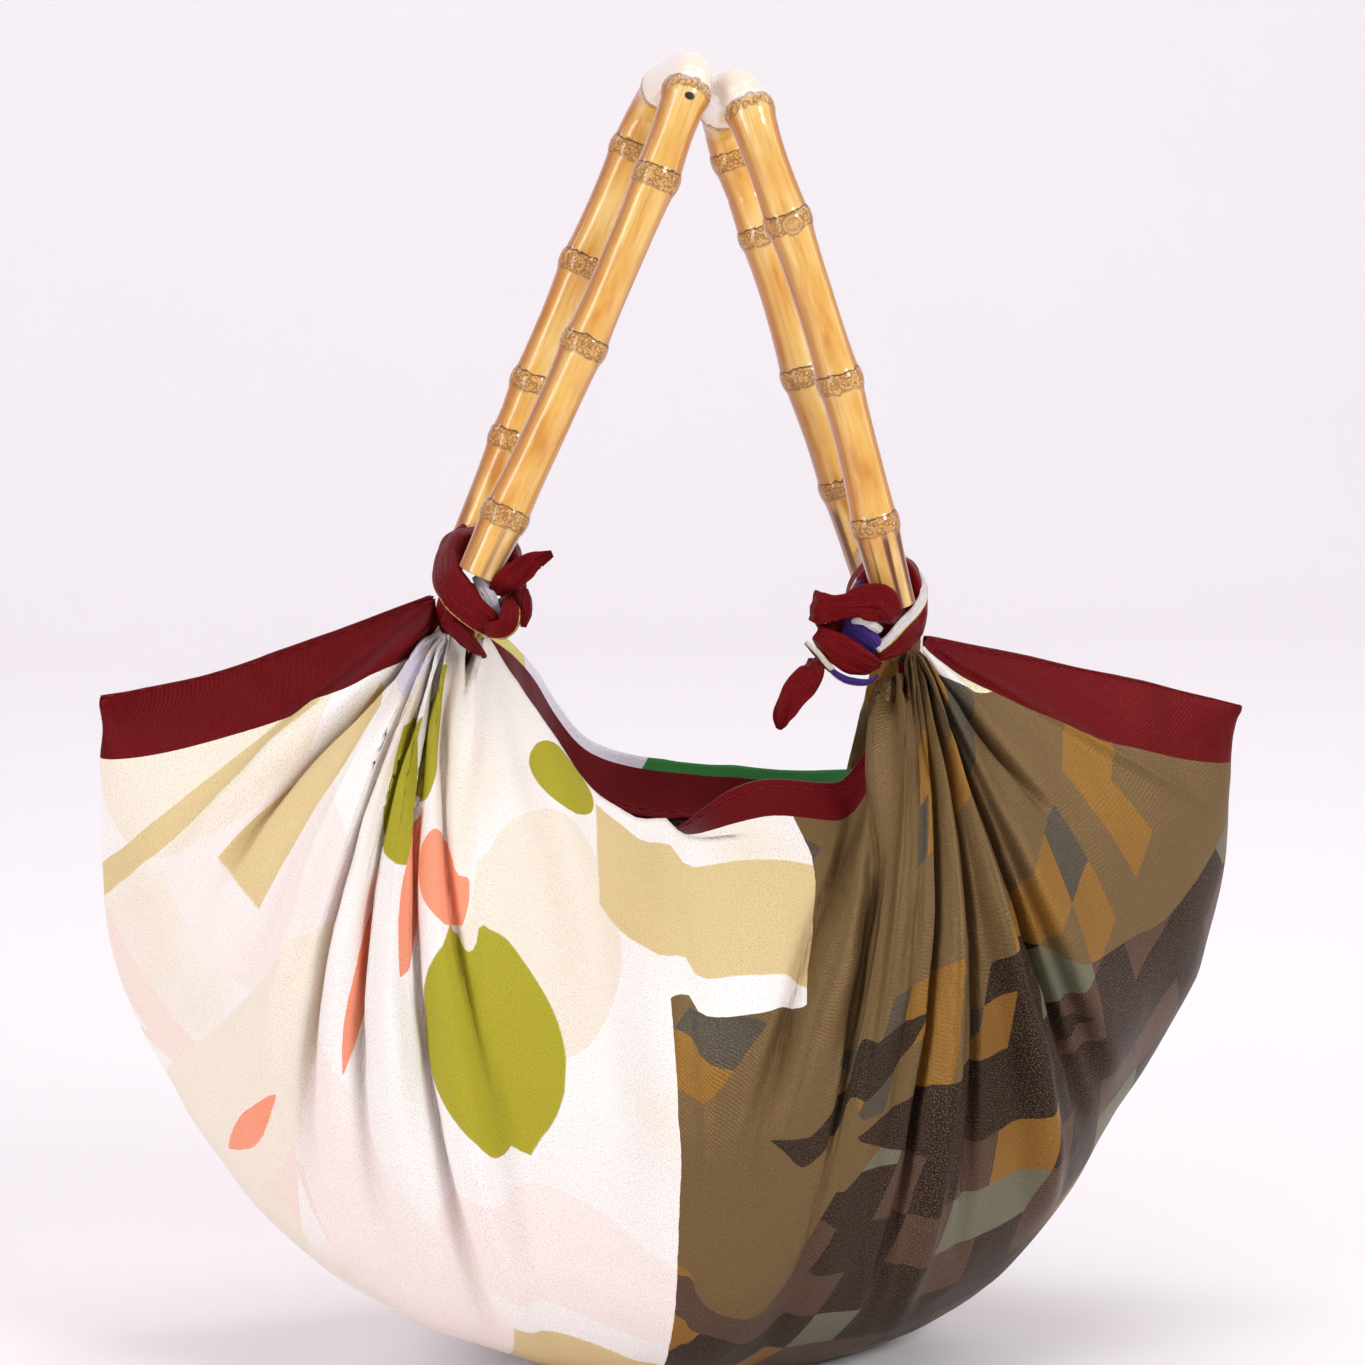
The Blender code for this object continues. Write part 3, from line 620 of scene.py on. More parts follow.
def fold_shifts(folds, along, down, spacing):
    """Return how far the folds lift each point, and how far they push it sideways."""
    lift = np.zeros(down.shape)
    lean = np.zeros(down.shape)
    close = np.minimum(spacing, 1.0)
    ridge_size = np.maximum(spacing, RIDGE_SPACING)
    tuck_size = np.sqrt(np.maximum(1 - close ** 2, LEAST_TUCK)) * close ** TUCK_CLOSING
    for row in folds:
        fold = dict(zip(FOLD_COLUMNS, row))
        crest = smooth(down, np.array(FOLD_SHARES), np.array(row[:4], dtype=float))
        offset = along[:, None] - crest
        wide = np.where(offset < 0, fold["left"], fold["right"])
        bump = 0.5 + 0.5 * np.cos(math.pi * np.clip(offset / wide, -1.0, 1.0))
        fade = ease(down / (fold["start"] + FADE_SHARE))
        fade *= ease(2 * (fold["end"] - down) / fold["end"])
        size = ridge_size if fold["height"] > 0 else tuck_size
        size = size * 0.5 * (fold["left"] + fold["right"]) * bump * fade
        lift += fold["height"] * size
        lean += fold["lean"] * size
        if fold["height"] < -LEAST_PULL:
            pulled = np.clip(1 - np.abs(offset) / (TUCK_PULL_REACH * wide), 0.0, 1.0) * fade
            lean -= TUCK_PULL * offset * pulled * close
    return lift, lean


def rolled_strip(side, corners, turn, edge_share, rows, spacing, inward):
    """Return the strip along the hem as it lies where it is rolled in."""
    edge = drape(corners, edge_share)
    upward = unit(edge - drape(corners, edge_share + PROBE_SHARE))
    reach = ROLL_DEPTH * np.clip(spacing / ROLL_SPACING, LEAST_REACH, 1.0)
    reach *= 1 - ROLL_TUCK * np.sin(turn)
    deep = np.maximum(-rows[None, :] * reach, 0.0)[..., None]
    bent = (0.5 - 0.5 * np.cos(turn))[..., None]
    gap = ROLL_GAP * np.sqrt(np.clip(deep / ROLL_GAP, 0.0, 1.0)) * bent
    hang = unit(np.array([0.0, -side * HANG_IN, -1.0]))
    level = np.cos(turn)[..., None]
    heading = np.maximum(level, 0.0) * upward - np.minimum(level, 0.0) * hang
    return edge + deep * (heading + np.sin(turn)[..., None] * inward) + gap * inward


def share_run(corners, down):
    """Return the share of each section's length that lies above its points."""
    shares = np.linspace(0, 1, CURVE_STEPS + 1)
    line = drape(corners, np.broadcast_to(shares, (len(down), len(shares))))
    pace = np.linalg.norm(np.diff(line, axis=1), axis=2)
    run = np.concatenate([np.zeros((len(down), 1)), np.cumsum(pace, axis=1)], axis=1)
    run /= run[:, -1:]
    return np.stack([np.interp(row, shares, travelled) for row, travelled in zip(down, run)])


def flat_top(along):
    """Return where on the flat square each place along the top lies."""
    bends = [0, WING, MOUTH_START, MOUTH_END, RIGHT_WING, PANEL_LENGTH]
    p = np.interp(along, bends, [-HALF_SIDE, -HALF_SIDE, -WING, WING, HALF_SIDE, HALF_SIDE])
    q = np.interp(along, bends, [0, WING, HALF_SIDE, HALF_SIDE, WING, 0])
    return p, q


def flat_places(side, read, corners, rows, down, edge_share):
    """Return where on the flat square each point of a panel lies."""
    hung = share_run(corners, down)
    edge_run = share_run(corners, edge_share)
    body = STRIP_SHARE + (1 - STRIP_SHARE) * (hung - edge_run) / (1 - edge_run)
    rolled = np.where(rows[None, :] < 0, (1 + rows[None, :]) * STRIP_SHARE, body)
    held = np.clip(2 * read["roll"][:, None], 0.0, 1.0)
    share = hung * (1 - held) + rolled * held
    top_p, top_q = flat_top(read["along"])
    flat_p = top_p[:, None] + share * (read["place"] - top_p)[:, None]
    flat_q = -side * top_q[:, None] * (1 - share)
    return np.stack([flat_p, flat_q], axis=2)


def hang_panel(side, mouth, folds, along, rows):
    """Return a panel's points, flat places and painted crease shade, side -1 front and 1 back.

    Rows from -1 to 0 are the strip along the hem, which may be rolled in, and
    rows from 0 to 1 the rest, down to the fold line.
    """
    read = read_sections(mouth, along)
    corners = curve_corners(read, side)
    turn = math.pi * read["roll"][:, None]
    edge_share = STRIP_SHARE * np.maximum(np.cos(turn), 0.0)
    strip = rows[None, :] < 0
    down = np.where(strip, (1 + rows[None, :]) * STRIP_SHARE,
                    edge_share + rows[None, :] * (1 - edge_share))
    points = drape(corners, down)
    fall = drape(corners, down + PROBE_SHARE) - drape(corners, down - PROBE_SHARE)
    spread = np.gradient(points, along, axis=0)
    spacing = np.linalg.norm(spread, axis=2)
    outward = unit(np.cross(spread, fall))
    outward *= np.sign(np.mean(outward[..., 1])) * side

    lift, lean = fold_shifts(folds + gather_pleats(PLEAT_SEEDS[side]), along, down, spacing)
    room = TUCK_REACH * np.abs(points[..., 1] - read["mid"][:, None])
    lift = np.maximum(lift, -room)
    points = points + outward * lift[..., None] + unit(spread) * lean[..., None]

    edge_row = int(np.argmin(np.abs(rows)))
    at_edge = slice(edge_row, edge_row + 1)
    rolled = rolled_strip(side, corners, turn, edge_share, rows,
                          spacing[:, at_edge], -outward[:, at_edge])
    weight = ease(ROLL_EASE * read["roll"])[:, None, None]
    points = np.where(strip[..., None], points * (1 - weight) + rolled * weight, points)
    points[..., 2] = np.maximum(points[..., 2], 0.0)
    # Painted shade: the deeper a point lies in a tuck, the darker its colour
    painted_crease_shade = np.clip(-lift / TUCK_SHADE_DEPTH, 0.0, 1.0)
    return points, flat_places(side, read, corners, rows, down, edge_share), painted_crease_shade


def cloth_places():
    """Return the places along the top, closest in the gathers."""
    return np.concatenate([
        np.arange(END_INSET, WING, WING_STEP),
        np.arange(WING, MOUTH_START, GATHER_STEP),
        np.arange(MOUTH_START, MOUTH_END, MOUTH_STEP),
        np.arange(MOUTH_END, RIGHT_WING, GATHER_STEP),
        np.arange(RIGHT_WING, PANEL_LENGTH - END_INSET, WING_STEP),
        [PANEL_LENGTH - END_INSET],
    ])


def grid_faces(columns, rows, start=0, flip=False):
    """Return the quads of a grid of points."""
    faces = []
    for column in range(columns - 1):
        for row in range(rows - 1):
            corner = start + column * rows + row
            face = [corner, corner + 1, corner + rows + 1, corner + rows]
            faces.append(face[::-1] if flip else face)
    return faces


def rim_faces(columns, rows):
    """Return the quads round the rim that join the two skins of a grid."""
    count = columns * rows
    faces = []
    for column in range(columns - 1):
        for row, side in ((0, 1), (rows - 1, -1)):
            corner = column * rows + row
            faces.append([corner, corner + rows, corner + rows + count, corner + count][::side])
    for row in range(rows - 1):
        for column, side in ((0, -1), (columns - 1, 1)):
            corner = column * rows + row
            faces.append([corner, corner + 1, corner + 1 + count, corner + count][::side])
    return faces


def give_map(made, flat):
    """Write a UV map, in metres of flat cloth, from a place for each point."""
    layer = made.data.uv_layers.new(name="flat_cloth")
    index = np.zeros(len(made.data.loops), dtype=np.int32)
    made.data.loops.foreach_get("vertex_index", index)
    layer.data.foreach_set("uv", flat[index].astype(np.float32).ravel())


def give_attribute(made, name, values):
    """Write a number or a vector for each point of a mesh."""
    values = np.asarray(values, dtype=np.float32)
    kind, key = ("FLOAT", "value") if values.ndim == 1 else ("FLOAT_VECTOR", "vector")
    layer = made.data.attributes.new(name, kind, "POINT")
    layer.data.foreach_set(key, values.ravel())


# Colours of the print and the border
MAROON = paint(112, 15, 20)
MAROON_DARK = paint(84, 9, 14)
WHITE = paint(251, 246, 243)
CREAM = paint(244, 232, 215)
BLUSH = paint(250, 236, 231)
STROKE = paint(246, 226, 214)
TAN = paint(224, 200, 148)
OLIVE = paint(176, 166, 48)
CORAL = paint(248, 158, 124)
GREEN = paint(52, 128, 62)
LILAC = paint(232, 226, 240)
PURPLE = paint(66, 52, 128)
KHAKI = paint(114, 90, 58)
OCHRE = paint(144, 102, 44)
GREY = paint(80, 74, 64)
# Colour of the light flecks: painted glints of the twill, with the weave's own speckle
UMBER = paint(48, 35, 31)
GLINT_STRAW = paint(172, 146, 104)
SAGE = paint(112, 112, 92)

# Motifs of the print: its kind, middle p and q on the square, half length and
# half width in millimetres, turn in degrees, and colour
MOTIF_COLUMNS = ("kind", "p", "q", "length", "width", "turn", "colour")
PALE_MOTIFS = [
    ("leaf", -300, 24, 96, 15, 28, STROKE),
    ("leaf", -262, 70, 84, 13, 64, STROKE),
    ("leaf", -196, 34, 88, 16, 118, STROKE),
    ("leaf", -120, 60, 100, 18, 165, STROKE),
    ("petal", -345, 110, 110, 44, 35, BLUSH),
    ("petal", -250, 60, 110, 38, 100, CREAM),
    ("petal", -150, 90, 95, 36, 150, BLUSH),
    ("petal", -90, 300, 90, 44, 60, CREAM),
    ("petal", -60, 150, 80, 34, 10, BLUSH),
    ("petal", -424, 60, 60, 44, 100, CREAM),
    ("block", -398, 50, 68, 7, -61, TAN),
    ("block", -374, 128, 46, 28, -54, TAN),
    ("block", -22, 70, 60, 34, 12, TAN),
    ("block", 22, 372, 66, 32, -8, TAN),
    ("leaf", -258, 262, 58, 30, 20, OLIVE),
    ("petal", -222, 330, 34, 26, 80, OLIVE),
    ("leaf", -120, 240, 58, 46, 120, OLIVE),
    ("leaf", -372, 218, 60, 13, 45, LILAC),
    ("petal", -165, 300, 32, 20, 40, CORAL),
    ("leaf", -200, 262, 40, 16, 100, CORAL),
    ("leaf", -236, 62, 34, 8, 98, CORAL),
    ("petal", -70, 400, 34, 16, 30, OLIVE),
    ("leaf", -228, 190, 44, 9, 110, CORAL),
    ("petal", -330, -120, 120, 46, -35, BLUSH),
    ("petal", -210, -60, 110, 40, 80, CREAM),
    ("leaf", -250, -235, 70, 34, 160, OLIVE),
    ("petal", -90, -250, 110, 44, 60, BLUSH),
    ("leaf", -140, -150, 84, 32, 30, TAN),
    ("petal", -170, -330, 40, 22, 40, CORAL),
    ("petal", -160, -430, 60, 40, 0, paint(214, 206, 120)),
    ("petal", -60, -420, 60, 40, 0, LILAC),
    ("leaf", 50, -425, 66, 26, 4, GREEN),
    ("petal", 84, -440, 26, 12, 0, paint(206, 216, 170)),
]
DARK_MOTIFS = [
    ("petal", 150, 330, 60, 46, 30, KHAKI),
    ("petal", 50, 220, 70, 56, 80, KHAKI),
    ("leaf", 110, 235, 70, 14, 165, UMBER),
    ("leaf", 200, 150, 110, 18, 150, UMBER),
    ("block", 424, 206, 59, 30, -61.5, WHITE),
    ("block", 430, 157, 13, 12, -61.5, paint(244, 240, 200)),
    ("petal", 300, -200, 90, 50, 60, KHAKI),
    ("leaf", 210, -90, 120, 30, 160, UMBER),
]
BORDER_INNER = 426.0
BORDER_SCALE = 500.0
MOTIF_SOFT = 0.03

# Where the pale and the dark half of the print meet
SPLIT_LOW = -8.0
SPLIT_HIGH = 72.0
SPLIT_BEHIND = 50.0
STEP_FROM = 315.0
STEP_TO = 345.0
HILL_SLANT = 0.3
HILL_WAVE = 0.08
HILL_WAVE_SCALE = 8.0

# Washes of the pale half
WASH_SCALE = 7.0
WASH_STOPS = [(0.42, WHITE), (0.54, paint(249, 242, 237)), (0.66, CREAM), (0.76, BLUSH)]
WOBBLE = 0.0088
WOBBLE_SCALE = 9.0

# Slanting blocks of the dark half
BLOCK_WIDE = 31.0
BLOCK_HIGH = 25.0
BLOCK_TURN = 34.0
BLOCK_BAND = 105.0
BLOCK_STOPS = [(0.0, KHAKI), (0.28, OCHRE), (0.56, GREY), (0.8, KHAKI), (0.9, OCHRE)]
LOW_EDGE = 182.0
LOW_FROM = 250.0
LOW_SLANT = 1.2
LOW_WAVE = 0.12
LOW_WAVE_SCALE = 5.0
LOW_STOPS = [(0.0, UMBER), (0.36, paint(86, 64, 54)), (0.6, OCHRE), (0.7, UMBER), (0.84, SAGE)]

# Finish of the silk: its ribs, slubs, creases, grain, light flecks and gloss, and the
# painted shade in its tucks. The flecks are partly the weave's own speckle and partly
# painted glints of the twill. An edge is where a noise sets in, and where it is full.
RIB_SCALE = 260.0
RIB_WAVER = 0.6
RIB_SHARE = 0.4
RIB_BUMP = (0.5, 0.0004)
SLUB_SCALE = 1200.0
CREASE_SCALE = 26.0
CREASE_BUMP = (0.55, 0.0026)
GRAIN_SCALE = 1300.0
GRAIN_EDGE = (0.45, 0.7)
GRAIN_SHADE = 0.22
FLECK_SCALE = 1700.0
FLECK_EDGE = (0.52, 0.66)
GLINT_FLECK_LIGHT = 0.3
SATIN = 0.35
SILK_ROUGH = 0.38
PATCH_ROUGH = 0.12
PATCH_SCALE = 60.0
# Painted shade in the tucks: how far it darkens the print, and the warm colour it darkens towards
TUCK_SHADE = 0.42
TUCK_SHADE_COLOUR = paint(178, 152, 138)


def motif_mask(finish, place, motif):
    """Return 1 inside a motif of the print and 0 outside it."""
    local = finish.node("ShaderNodeMapping", {"vector_type": "TEXTURE"}, {
        "Vector": place,
        "Location": (motif["p"] * MM, motif["q"] * MM, 0.0),
        "Rotation": (0.0, 0.0, math.radians(motif["turn"])),
        "Scale": (motif["length"] * MM, motif["width"] * MM, 1.0)})
    x, y, _ = finish.split(local)
    if motif["kind"] == "leaf":
        depth = 1 - x * x - abs(y)
    elif motif["kind"] == "petal":
        depth = 1 - x * x - y * y
    else:
        depth = 1 - finish.maths("MAXIMUM", abs(x), abs(y))
    return finish.clamp(depth, 0.0, MOTIF_SOFT)


def print_motifs(finish, place, ground, motifs):
    """Lay motifs over a ground colour, one after another."""
    for row in motifs:
        motif = dict(zip(MOTIF_COLUMNS, row))
        ground = finish.mix(motif_mask(finish, place, motif), ground, motif["colour"])
    return ground


def slanting_blocks(finish, place):
    """Return the blocks of the dark half, in its light and its low colours."""
    tilted = finish.node("ShaderNodeMapping", {}, {
        "Vector": place, "Rotation": (0.0, 0.0, math.radians(BLOCK_TURN)),
        "Scale": (1 / (BLOCK_WIDE * MM), 1 / (BLOCK_HIGH * MM), 1.0)})
    x, y, _ = finish.split(tilted)
    column, course = finish.maths("FLOOR", x), finish.maths("FLOOR", y)
    block = finish.node("ShaderNodeCombineXYZ", {}, {0: column, 1: course})
    pick = finish.node("ShaderNodeTexWhiteNoise", {"noise_dimensions": "2D"}, {"Vector": block})
    plain = finish.maths("FRACT", course * (BLOCK_HIGH / BLOCK_BAND)) < 0.5
    light = finish.mix(plain, KHAKI, finish.ramp(pick, BLOCK_STOPS, "CONSTANT"))
    return light, finish.ramp(pick, LOW_STOPS, "CONSTANT")


def weave_normal(finish, place):
    """Return the normal of twill: fine slanting ribs and soft creases."""
    ribs = finish.node("ShaderNodeTexWave", {"wave_type": "BANDS", "bands_direction": "DIAGONAL"}, {
        "Vector": place, "Scale": RIB_SCALE, "Distortion": RIB_WAVER, "Detail": 1.0})
    slub = finish.noise(place, SLUB_SCALE, 2.0, 0.6)
    creases = finish.noise(place, CREASE_SCALE, 3.0, 0.5)
    fine = finish.bump(ribs * RIB_SHARE + slub, *RIB_BUMP)
    return finish.bump(creases, *CREASE_BUMP, fine)


def silk_sheen(finish, place):
    """Feed the shader the satin gloss of silk twill."""
    patchy = finish.noise(place, PATCH_SCALE)
    finish.give(Roughness=SILK_ROUGH + patchy * PATCH_ROUGH)


silk = Finish("printed_silk", Specular_IOR_Level=0.1)
flat_place = silk.on_cloth()
flat_p, flat_q, _ = silk.split(flat_place)
wobble = silk.noise(flat_place, WOBBLE_SCALE, 5.0, 0.6, 1)
wobble = silk.vector_maths("SUBTRACT", wobble, (0.5, 0.5, 0.5))
drawn = silk.vector_maths("ADD", flat_place, silk.stretch(wobble, (WOBBLE, WOBBLE, 0.0)))
drawn_p = silk.split(drawn)[0]

wash = silk.ramp(silk.noise(flat_place, WASH_SCALE), WASH_STOPS)
pale = print_motifs(silk, drawn, wash, PALE_MOTIFS)
light_blocks, low_blocks = slanting_blocks(silk, flat_place)
toward_tip = silk.maths("MAXIMUM", flat_p - LOW_FROM * MM, 0.0) * LOW_SLANT
uneven = (silk.noise(flat_place, LOW_WAVE_SCALE) - 0.5) * LOW_WAVE
low = abs(flat_q) + toward_tip + uneven < LOW_EDGE * MM
dark = print_motifs(silk, drawn, silk.mix(low, light_blocks, low_blocks), DARK_MOTIFS)

hill = drawn_p * HILL_SLANT + (silk.noise(flat_place, HILL_WAVE_SCALE) - 0.5) * HILL_WAVE
step_up = silk.clamp(abs(flat_q) + hill, STEP_FROM * MM, STEP_TO * MM)
behind = silk.clamp(0.0 - flat_q, STEP_FROM * MM, STEP_TO * MM)
split = drawn_p - step_up * (SPLIT_HIGH - SPLIT_LOW) * MM - behind * SPLIT_BEHIND * MM
in_dark = split > SPLIT_LOW * MM
halves = silk.mix(in_dark, pale, dark)

border = silk.maths("MAXIMUM", abs(flat_p), abs(flat_q)) > BORDER_INNER * MM
maroon = silk.mix(silk.noise(flat_place, BORDER_SCALE), MAROON, MAROON_DARK)
grain = silk.clamp(silk.noise(flat_place, GRAIN_SCALE, 1.0), *GRAIN_EDGE) * GRAIN_SHADE
# Light flecks in the dark half: partly the weave's own speckle, partly painted glints of the twill
glint_fleck = silk.clamp(silk.noise(flat_place, FLECK_SCALE, 1.0), *FLECK_EDGE) * in_dark * GLINT_FLECK_LIGHT
glint_flecked = silk.mix(glint_fleck, silk.mix(grain, halves, UMBER), GLINT_STRAW)
printed = silk.mix(border, glint_flecked, maroon)
# Painted shade: the tucks darken the printed colour
shaded = silk.node("ShaderNodeMix", {"data_type": "RGBA", "blend_type": "MULTIPLY"}, {
    0: silk.attribute("painted_crease_shade") * TUCK_SHADE, 6: printed, 7: TUCK_SHADE_COLOUR}, 2)
silk.give(Base_Color=shaded, Metallic=silk.maths("MAXIMUM", border, in_dark) * SATIN)
silk.give(Normal=weave_normal(silk, flat_place))
silk_sheen(silk, flat_place)

places = cloth_places()
cloth_rows = np.array(HEM_ROWS + BODY_ROWS)
front, front_flat, front_crease_shade = hang_panel(-1, FRONT_MOUTH, FRONT_FOLDS, places, cloth_rows)
back, back_flat, back_crease_shade = hang_panel(1, BACK_MOUTH, BACK_FOLDS, places, cloth_rows)
outer = np.concatenate([front, back[:, -2::-1]], axis=1)
cloth_flat = np.concatenate([front_flat, back_flat[:, -2::-1]], axis=1)
cloth_crease_shade = np.concatenate([front_crease_shade, back_crease_shade[:, -2::-1]], axis=1)
outward = unit(np.cross(np.gradient(outer, axis=1), np.gradient(outer, axis=0)))
outer = outer + outward * crumple_height(cloth_flat)[..., None]

# The rolled hem stands up along the wings and the mouth, and not in the gathers
HEMMED_PLACES = [150, 175, 560, 580, 885, 905, 1290, 1310]
HEMMED = [1, 0, 0, 1, 1, 0, 0, 1]
from_edge = ROLL_DEPTH * (1 + cloth_rows)
puff = np.clip(1 - (2 * from_edge / HEM_WIDE - 1) ** 2, 0.0, 1.0) ** 0.5
hemmed = np.interp(places, HEMMED_PLACES, HEMMED)
puff = np.concatenate([puff, puff[-2::-1]])[None, :] * hemmed[:, None] * HEM_PUFF
outer_skin = outer + outward * puff[..., None]
inner_skin = outer - outward * (SILK_THICK + puff)[..., None]
columns, rows = outer.shape[:2]
cloth_faces = grid_faces(columns, rows) + grid_faces(columns, rows, columns * rows, True)
cloth_faces += rim_faces(columns, rows)
cloth_points = np.concatenate([outer_skin.reshape(-1, 3), inner_skin.reshape(-1, 3)]) * MM
scarf = mesh_piece("scarf_cloth", cloth_points, cloth_faces, silk.material)
give_map(scarf, np.tile(cloth_flat.reshape(-1, 2), (2, 1)) * MM)
# The painted crease shade goes with each point, on both skins
give_attribute(scarf, "painted_crease_shade", np.tile(cloth_crease_shade.ravel(), 2))
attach(scarf, "root")
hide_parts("scarf")


# Hem stitches

# A row of maroon thread runs round the scarf just inside its rolled hem. Each
# stitch is a small rounded bar, laid end to end along the hem.
STITCH_ROW = 4
STITCH_PITCH = 7.2
STITCH_LENGTH = 4.6
STITCH_RADIUS = 0.45
STITCH_LIFT = 0.15
STITCH_SIDES = 6
STITCH_RINGS = 5
LEAST_STITCH = 0.85
MOST_STITCH = 1.1
STITCH_RUNS = [(8.0, 158.0), (585.0, 880.0), (1306.0, PANEL_LENGTH - 8.0)]
STITCH_SEED = 5
THREAD_LIGHT = paint(148, 40, 44)
THREAD_SCALE = 800.0
TWIST_SCALE = 3000.0
TWIST_BUMP = (0.3, 0.0002)

thread = Finish("maroon_thread", Roughness=0.6, Specular_IOR_Level=0.08, Metallic=SATIN)
thread_place = thread.on_object()
thread.give(Base_Color=thread.mix(thread.noise(thread_place, THREAD_SCALE), MAROON, THREAD_LIGHT))
thread.give(Normal=thread.bump(thread.noise(thread_place, TWIST_SCALE), *TWIST_BUMP))


def tree_node(tree, kind, settings=None, values=None):
    """Add a node to a Geometry Nodes tree with its settings and values."""
    made = tree.nodes.new(kind)
    for setting, value in (settings or {}).items():
        setattr(made, setting, value)
    for socket, value in (values or {}).items():
        if isinstance(value, bpy.types.NodeSocket):
            tree.links.new(value, made.inputs[socket])
        else:
            made.inputs[socket].default_value = value
    return made


def stitch_tree():
    """Build the tree that lays small bars along the edges of a mesh."""
    tree = bpy.data.node_groups.new("stitches", "GeometryNodeTree")
    wanted = (("Path", "NodeSocketGeometry"), ("Pitch", "NodeSocketFloat"),
              ("Length", "NodeSocketFloat"), ("Radius", "NodeSocketFloat"),
              ("Seed", "NodeSocketInt"), ("Thread", "NodeSocketMaterial"))
    for name, kind in wanted:
        tree.interface.new_socket(name, in_out="INPUT", socket_type=kind)
    tree.interface.new_socket("Stitches", in_out="OUTPUT", socket_type="NodeSocketGeometry")
    given = tree.nodes.new("NodeGroupInput").outputs
    path = tree_node(tree, "GeometryNodeMeshToCurve", {}, {"Mesh": given["Path"]})
    points = tree_node(tree, "GeometryNodeCurveToPoints", {"mode": "LENGTH"}, {
        "Curve": path.outputs[0], "Length": given["Pitch"]})
    bar = tree_node(tree, "GeometryNodeMeshUVSphere", {}, {
        "Segments": STITCH_SIDES, "Rings": STITCH_RINGS, "Radius": 1.0})
    half = tree_node(tree, "ShaderNodeMath", {"operation": "MULTIPLY"}, {
        0: given["Length"], 1: 0.5})
    size = tree_node(tree, "ShaderNodeCombineXYZ", {}, {
        0: given["Radius"], 1: given["Radius"], 2: half.outputs[0]})
    shaped = tree_node(tree, "GeometryNodeTransform", {}, {
        "Geometry": bar.outputs["Mesh"], "Scale": size.outputs[0]})
    spread = tree_node(tree, "FunctionNodeRandomValue", {"data_type": "FLOAT"}, {
        "Min": LEAST_STITCH, "Max": MOST_STITCH, "Seed": given["Seed"]})
    laid = tree_node(tree, "GeometryNodeInstanceOnPoints", {}, {
        "Points": points.outputs["Points"], "Instance": shaped.outputs[0],
        "Rotation": points.outputs["Rotation"]})
    tree.links.new(spread.outputs["Value"], laid.inputs["Scale"])
    real = tree_node(tree, "GeometryNodeRealizeInstances", {}, {0: laid.outputs[0]})
    smooth_bars = tree_node(tree, "GeometryNodeSetShadeSmooth", {}, {0: real.outputs[0]})
    dressed = tree_node(tree, "GeometryNodeSetMaterial", {}, {
        "Geometry": smooth_bars.outputs[0], "Material": given["Thread"]})
    out = tree.nodes.new("NodeGroupOutput")
    tree.links.new(dressed.outputs[0], out.inputs[0])
    return tree


def grown(name, points, edges, tree, values):
    """Grow a tree's mesh from a path and return it as a plain mesh object."""
    mesh = bpy.data.meshes.new(name + "_path")
    mesh.from_pydata(np.asarray(points).tolist(), edges, [])
    path = bpy.data.objects.new(name + "_path", mesh)
    bpy.context.scene.collection.objects.link(path)
    modifier = path.modifiers.new(name, "NODES")
    modifier.node_group = tree
    for item in tree.interface.items_tree:
        if item.in_out == "INPUT" and item.name in values:
            modifier[item.identifier] = values[item.name]
    bpy.context.view_layer.update()
    seen = path.evaluated_get(bpy.context.evaluated_depsgraph_get())
    plain = bpy.data.meshes.new_from_object(seen)
    plain.name = name
    made = bpy.data.objects.new(name, plain)
    bpy.context.scene.collection.objects.link(made)
    path.modifiers.remove(modifier)
    bpy.data.objects.remove(path)
    return made


stitch_points = []
stitch_edges = []
for panel_row in (STITCH_ROW, rows - 1 - STITCH_ROW):
    line = outer_skin[:, panel_row] + outward[:, panel_row] * STITCH_LIFT
    for start, end in STITCH_RUNS:
        chosen = line[(places >= start) & (places <= end)] * MM
        first = len(stitch_points)
        stitch_points += chosen.tolist()
        stitch_edges += [(first + step, first + step + 1) for step in range(len(chosen) - 1)]
stitches = grown("hem_stitches", stitch_points, stitch_edges, stitch_tree(), {
    "Pitch": STITCH_PITCH * MM, "Length": STITCH_LENGTH * MM, "Radius": STITCH_RADIUS * MM,
    "Seed": STITCH_SEED, "Thread": thread.material})
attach(stitches, "root")


# Knots

# Each pair of corners is tied round the bottom bar of a handle. What shows is
# twisted bands of the same cloth: its maroon border with the hem along one
# edge, and glimpses of the print.
BAND_SIDES = 56
BAND_STEP = 1.1
BAND_LEAST_STEPS = 14
BAND_MAP = 20
BAND_FULL = 0.7
LEFT_CORE = (-95.0, -26.0, 366.0)
RIGHT_CORE = (86.0, -28.0, 350.0)
CREASE_WAVES = 4
CREASE_MOST = 6
CREASE_SHARP = 1.1
CREASE_LEAST = 2.6
CREASE_DEPTH = 0.6
PULL_SCALE = (7.0, 2.6, 0.0)
PULL_BUMP = (0.8, 0.004)
STRIPE_WANDER = 0.1
WANDER_SCALE = 30.0
BAND_SHADE = 0.25
BAND_SHADE_SCALE = 400.0
HEM_EDGE = paint(214, 188, 106)

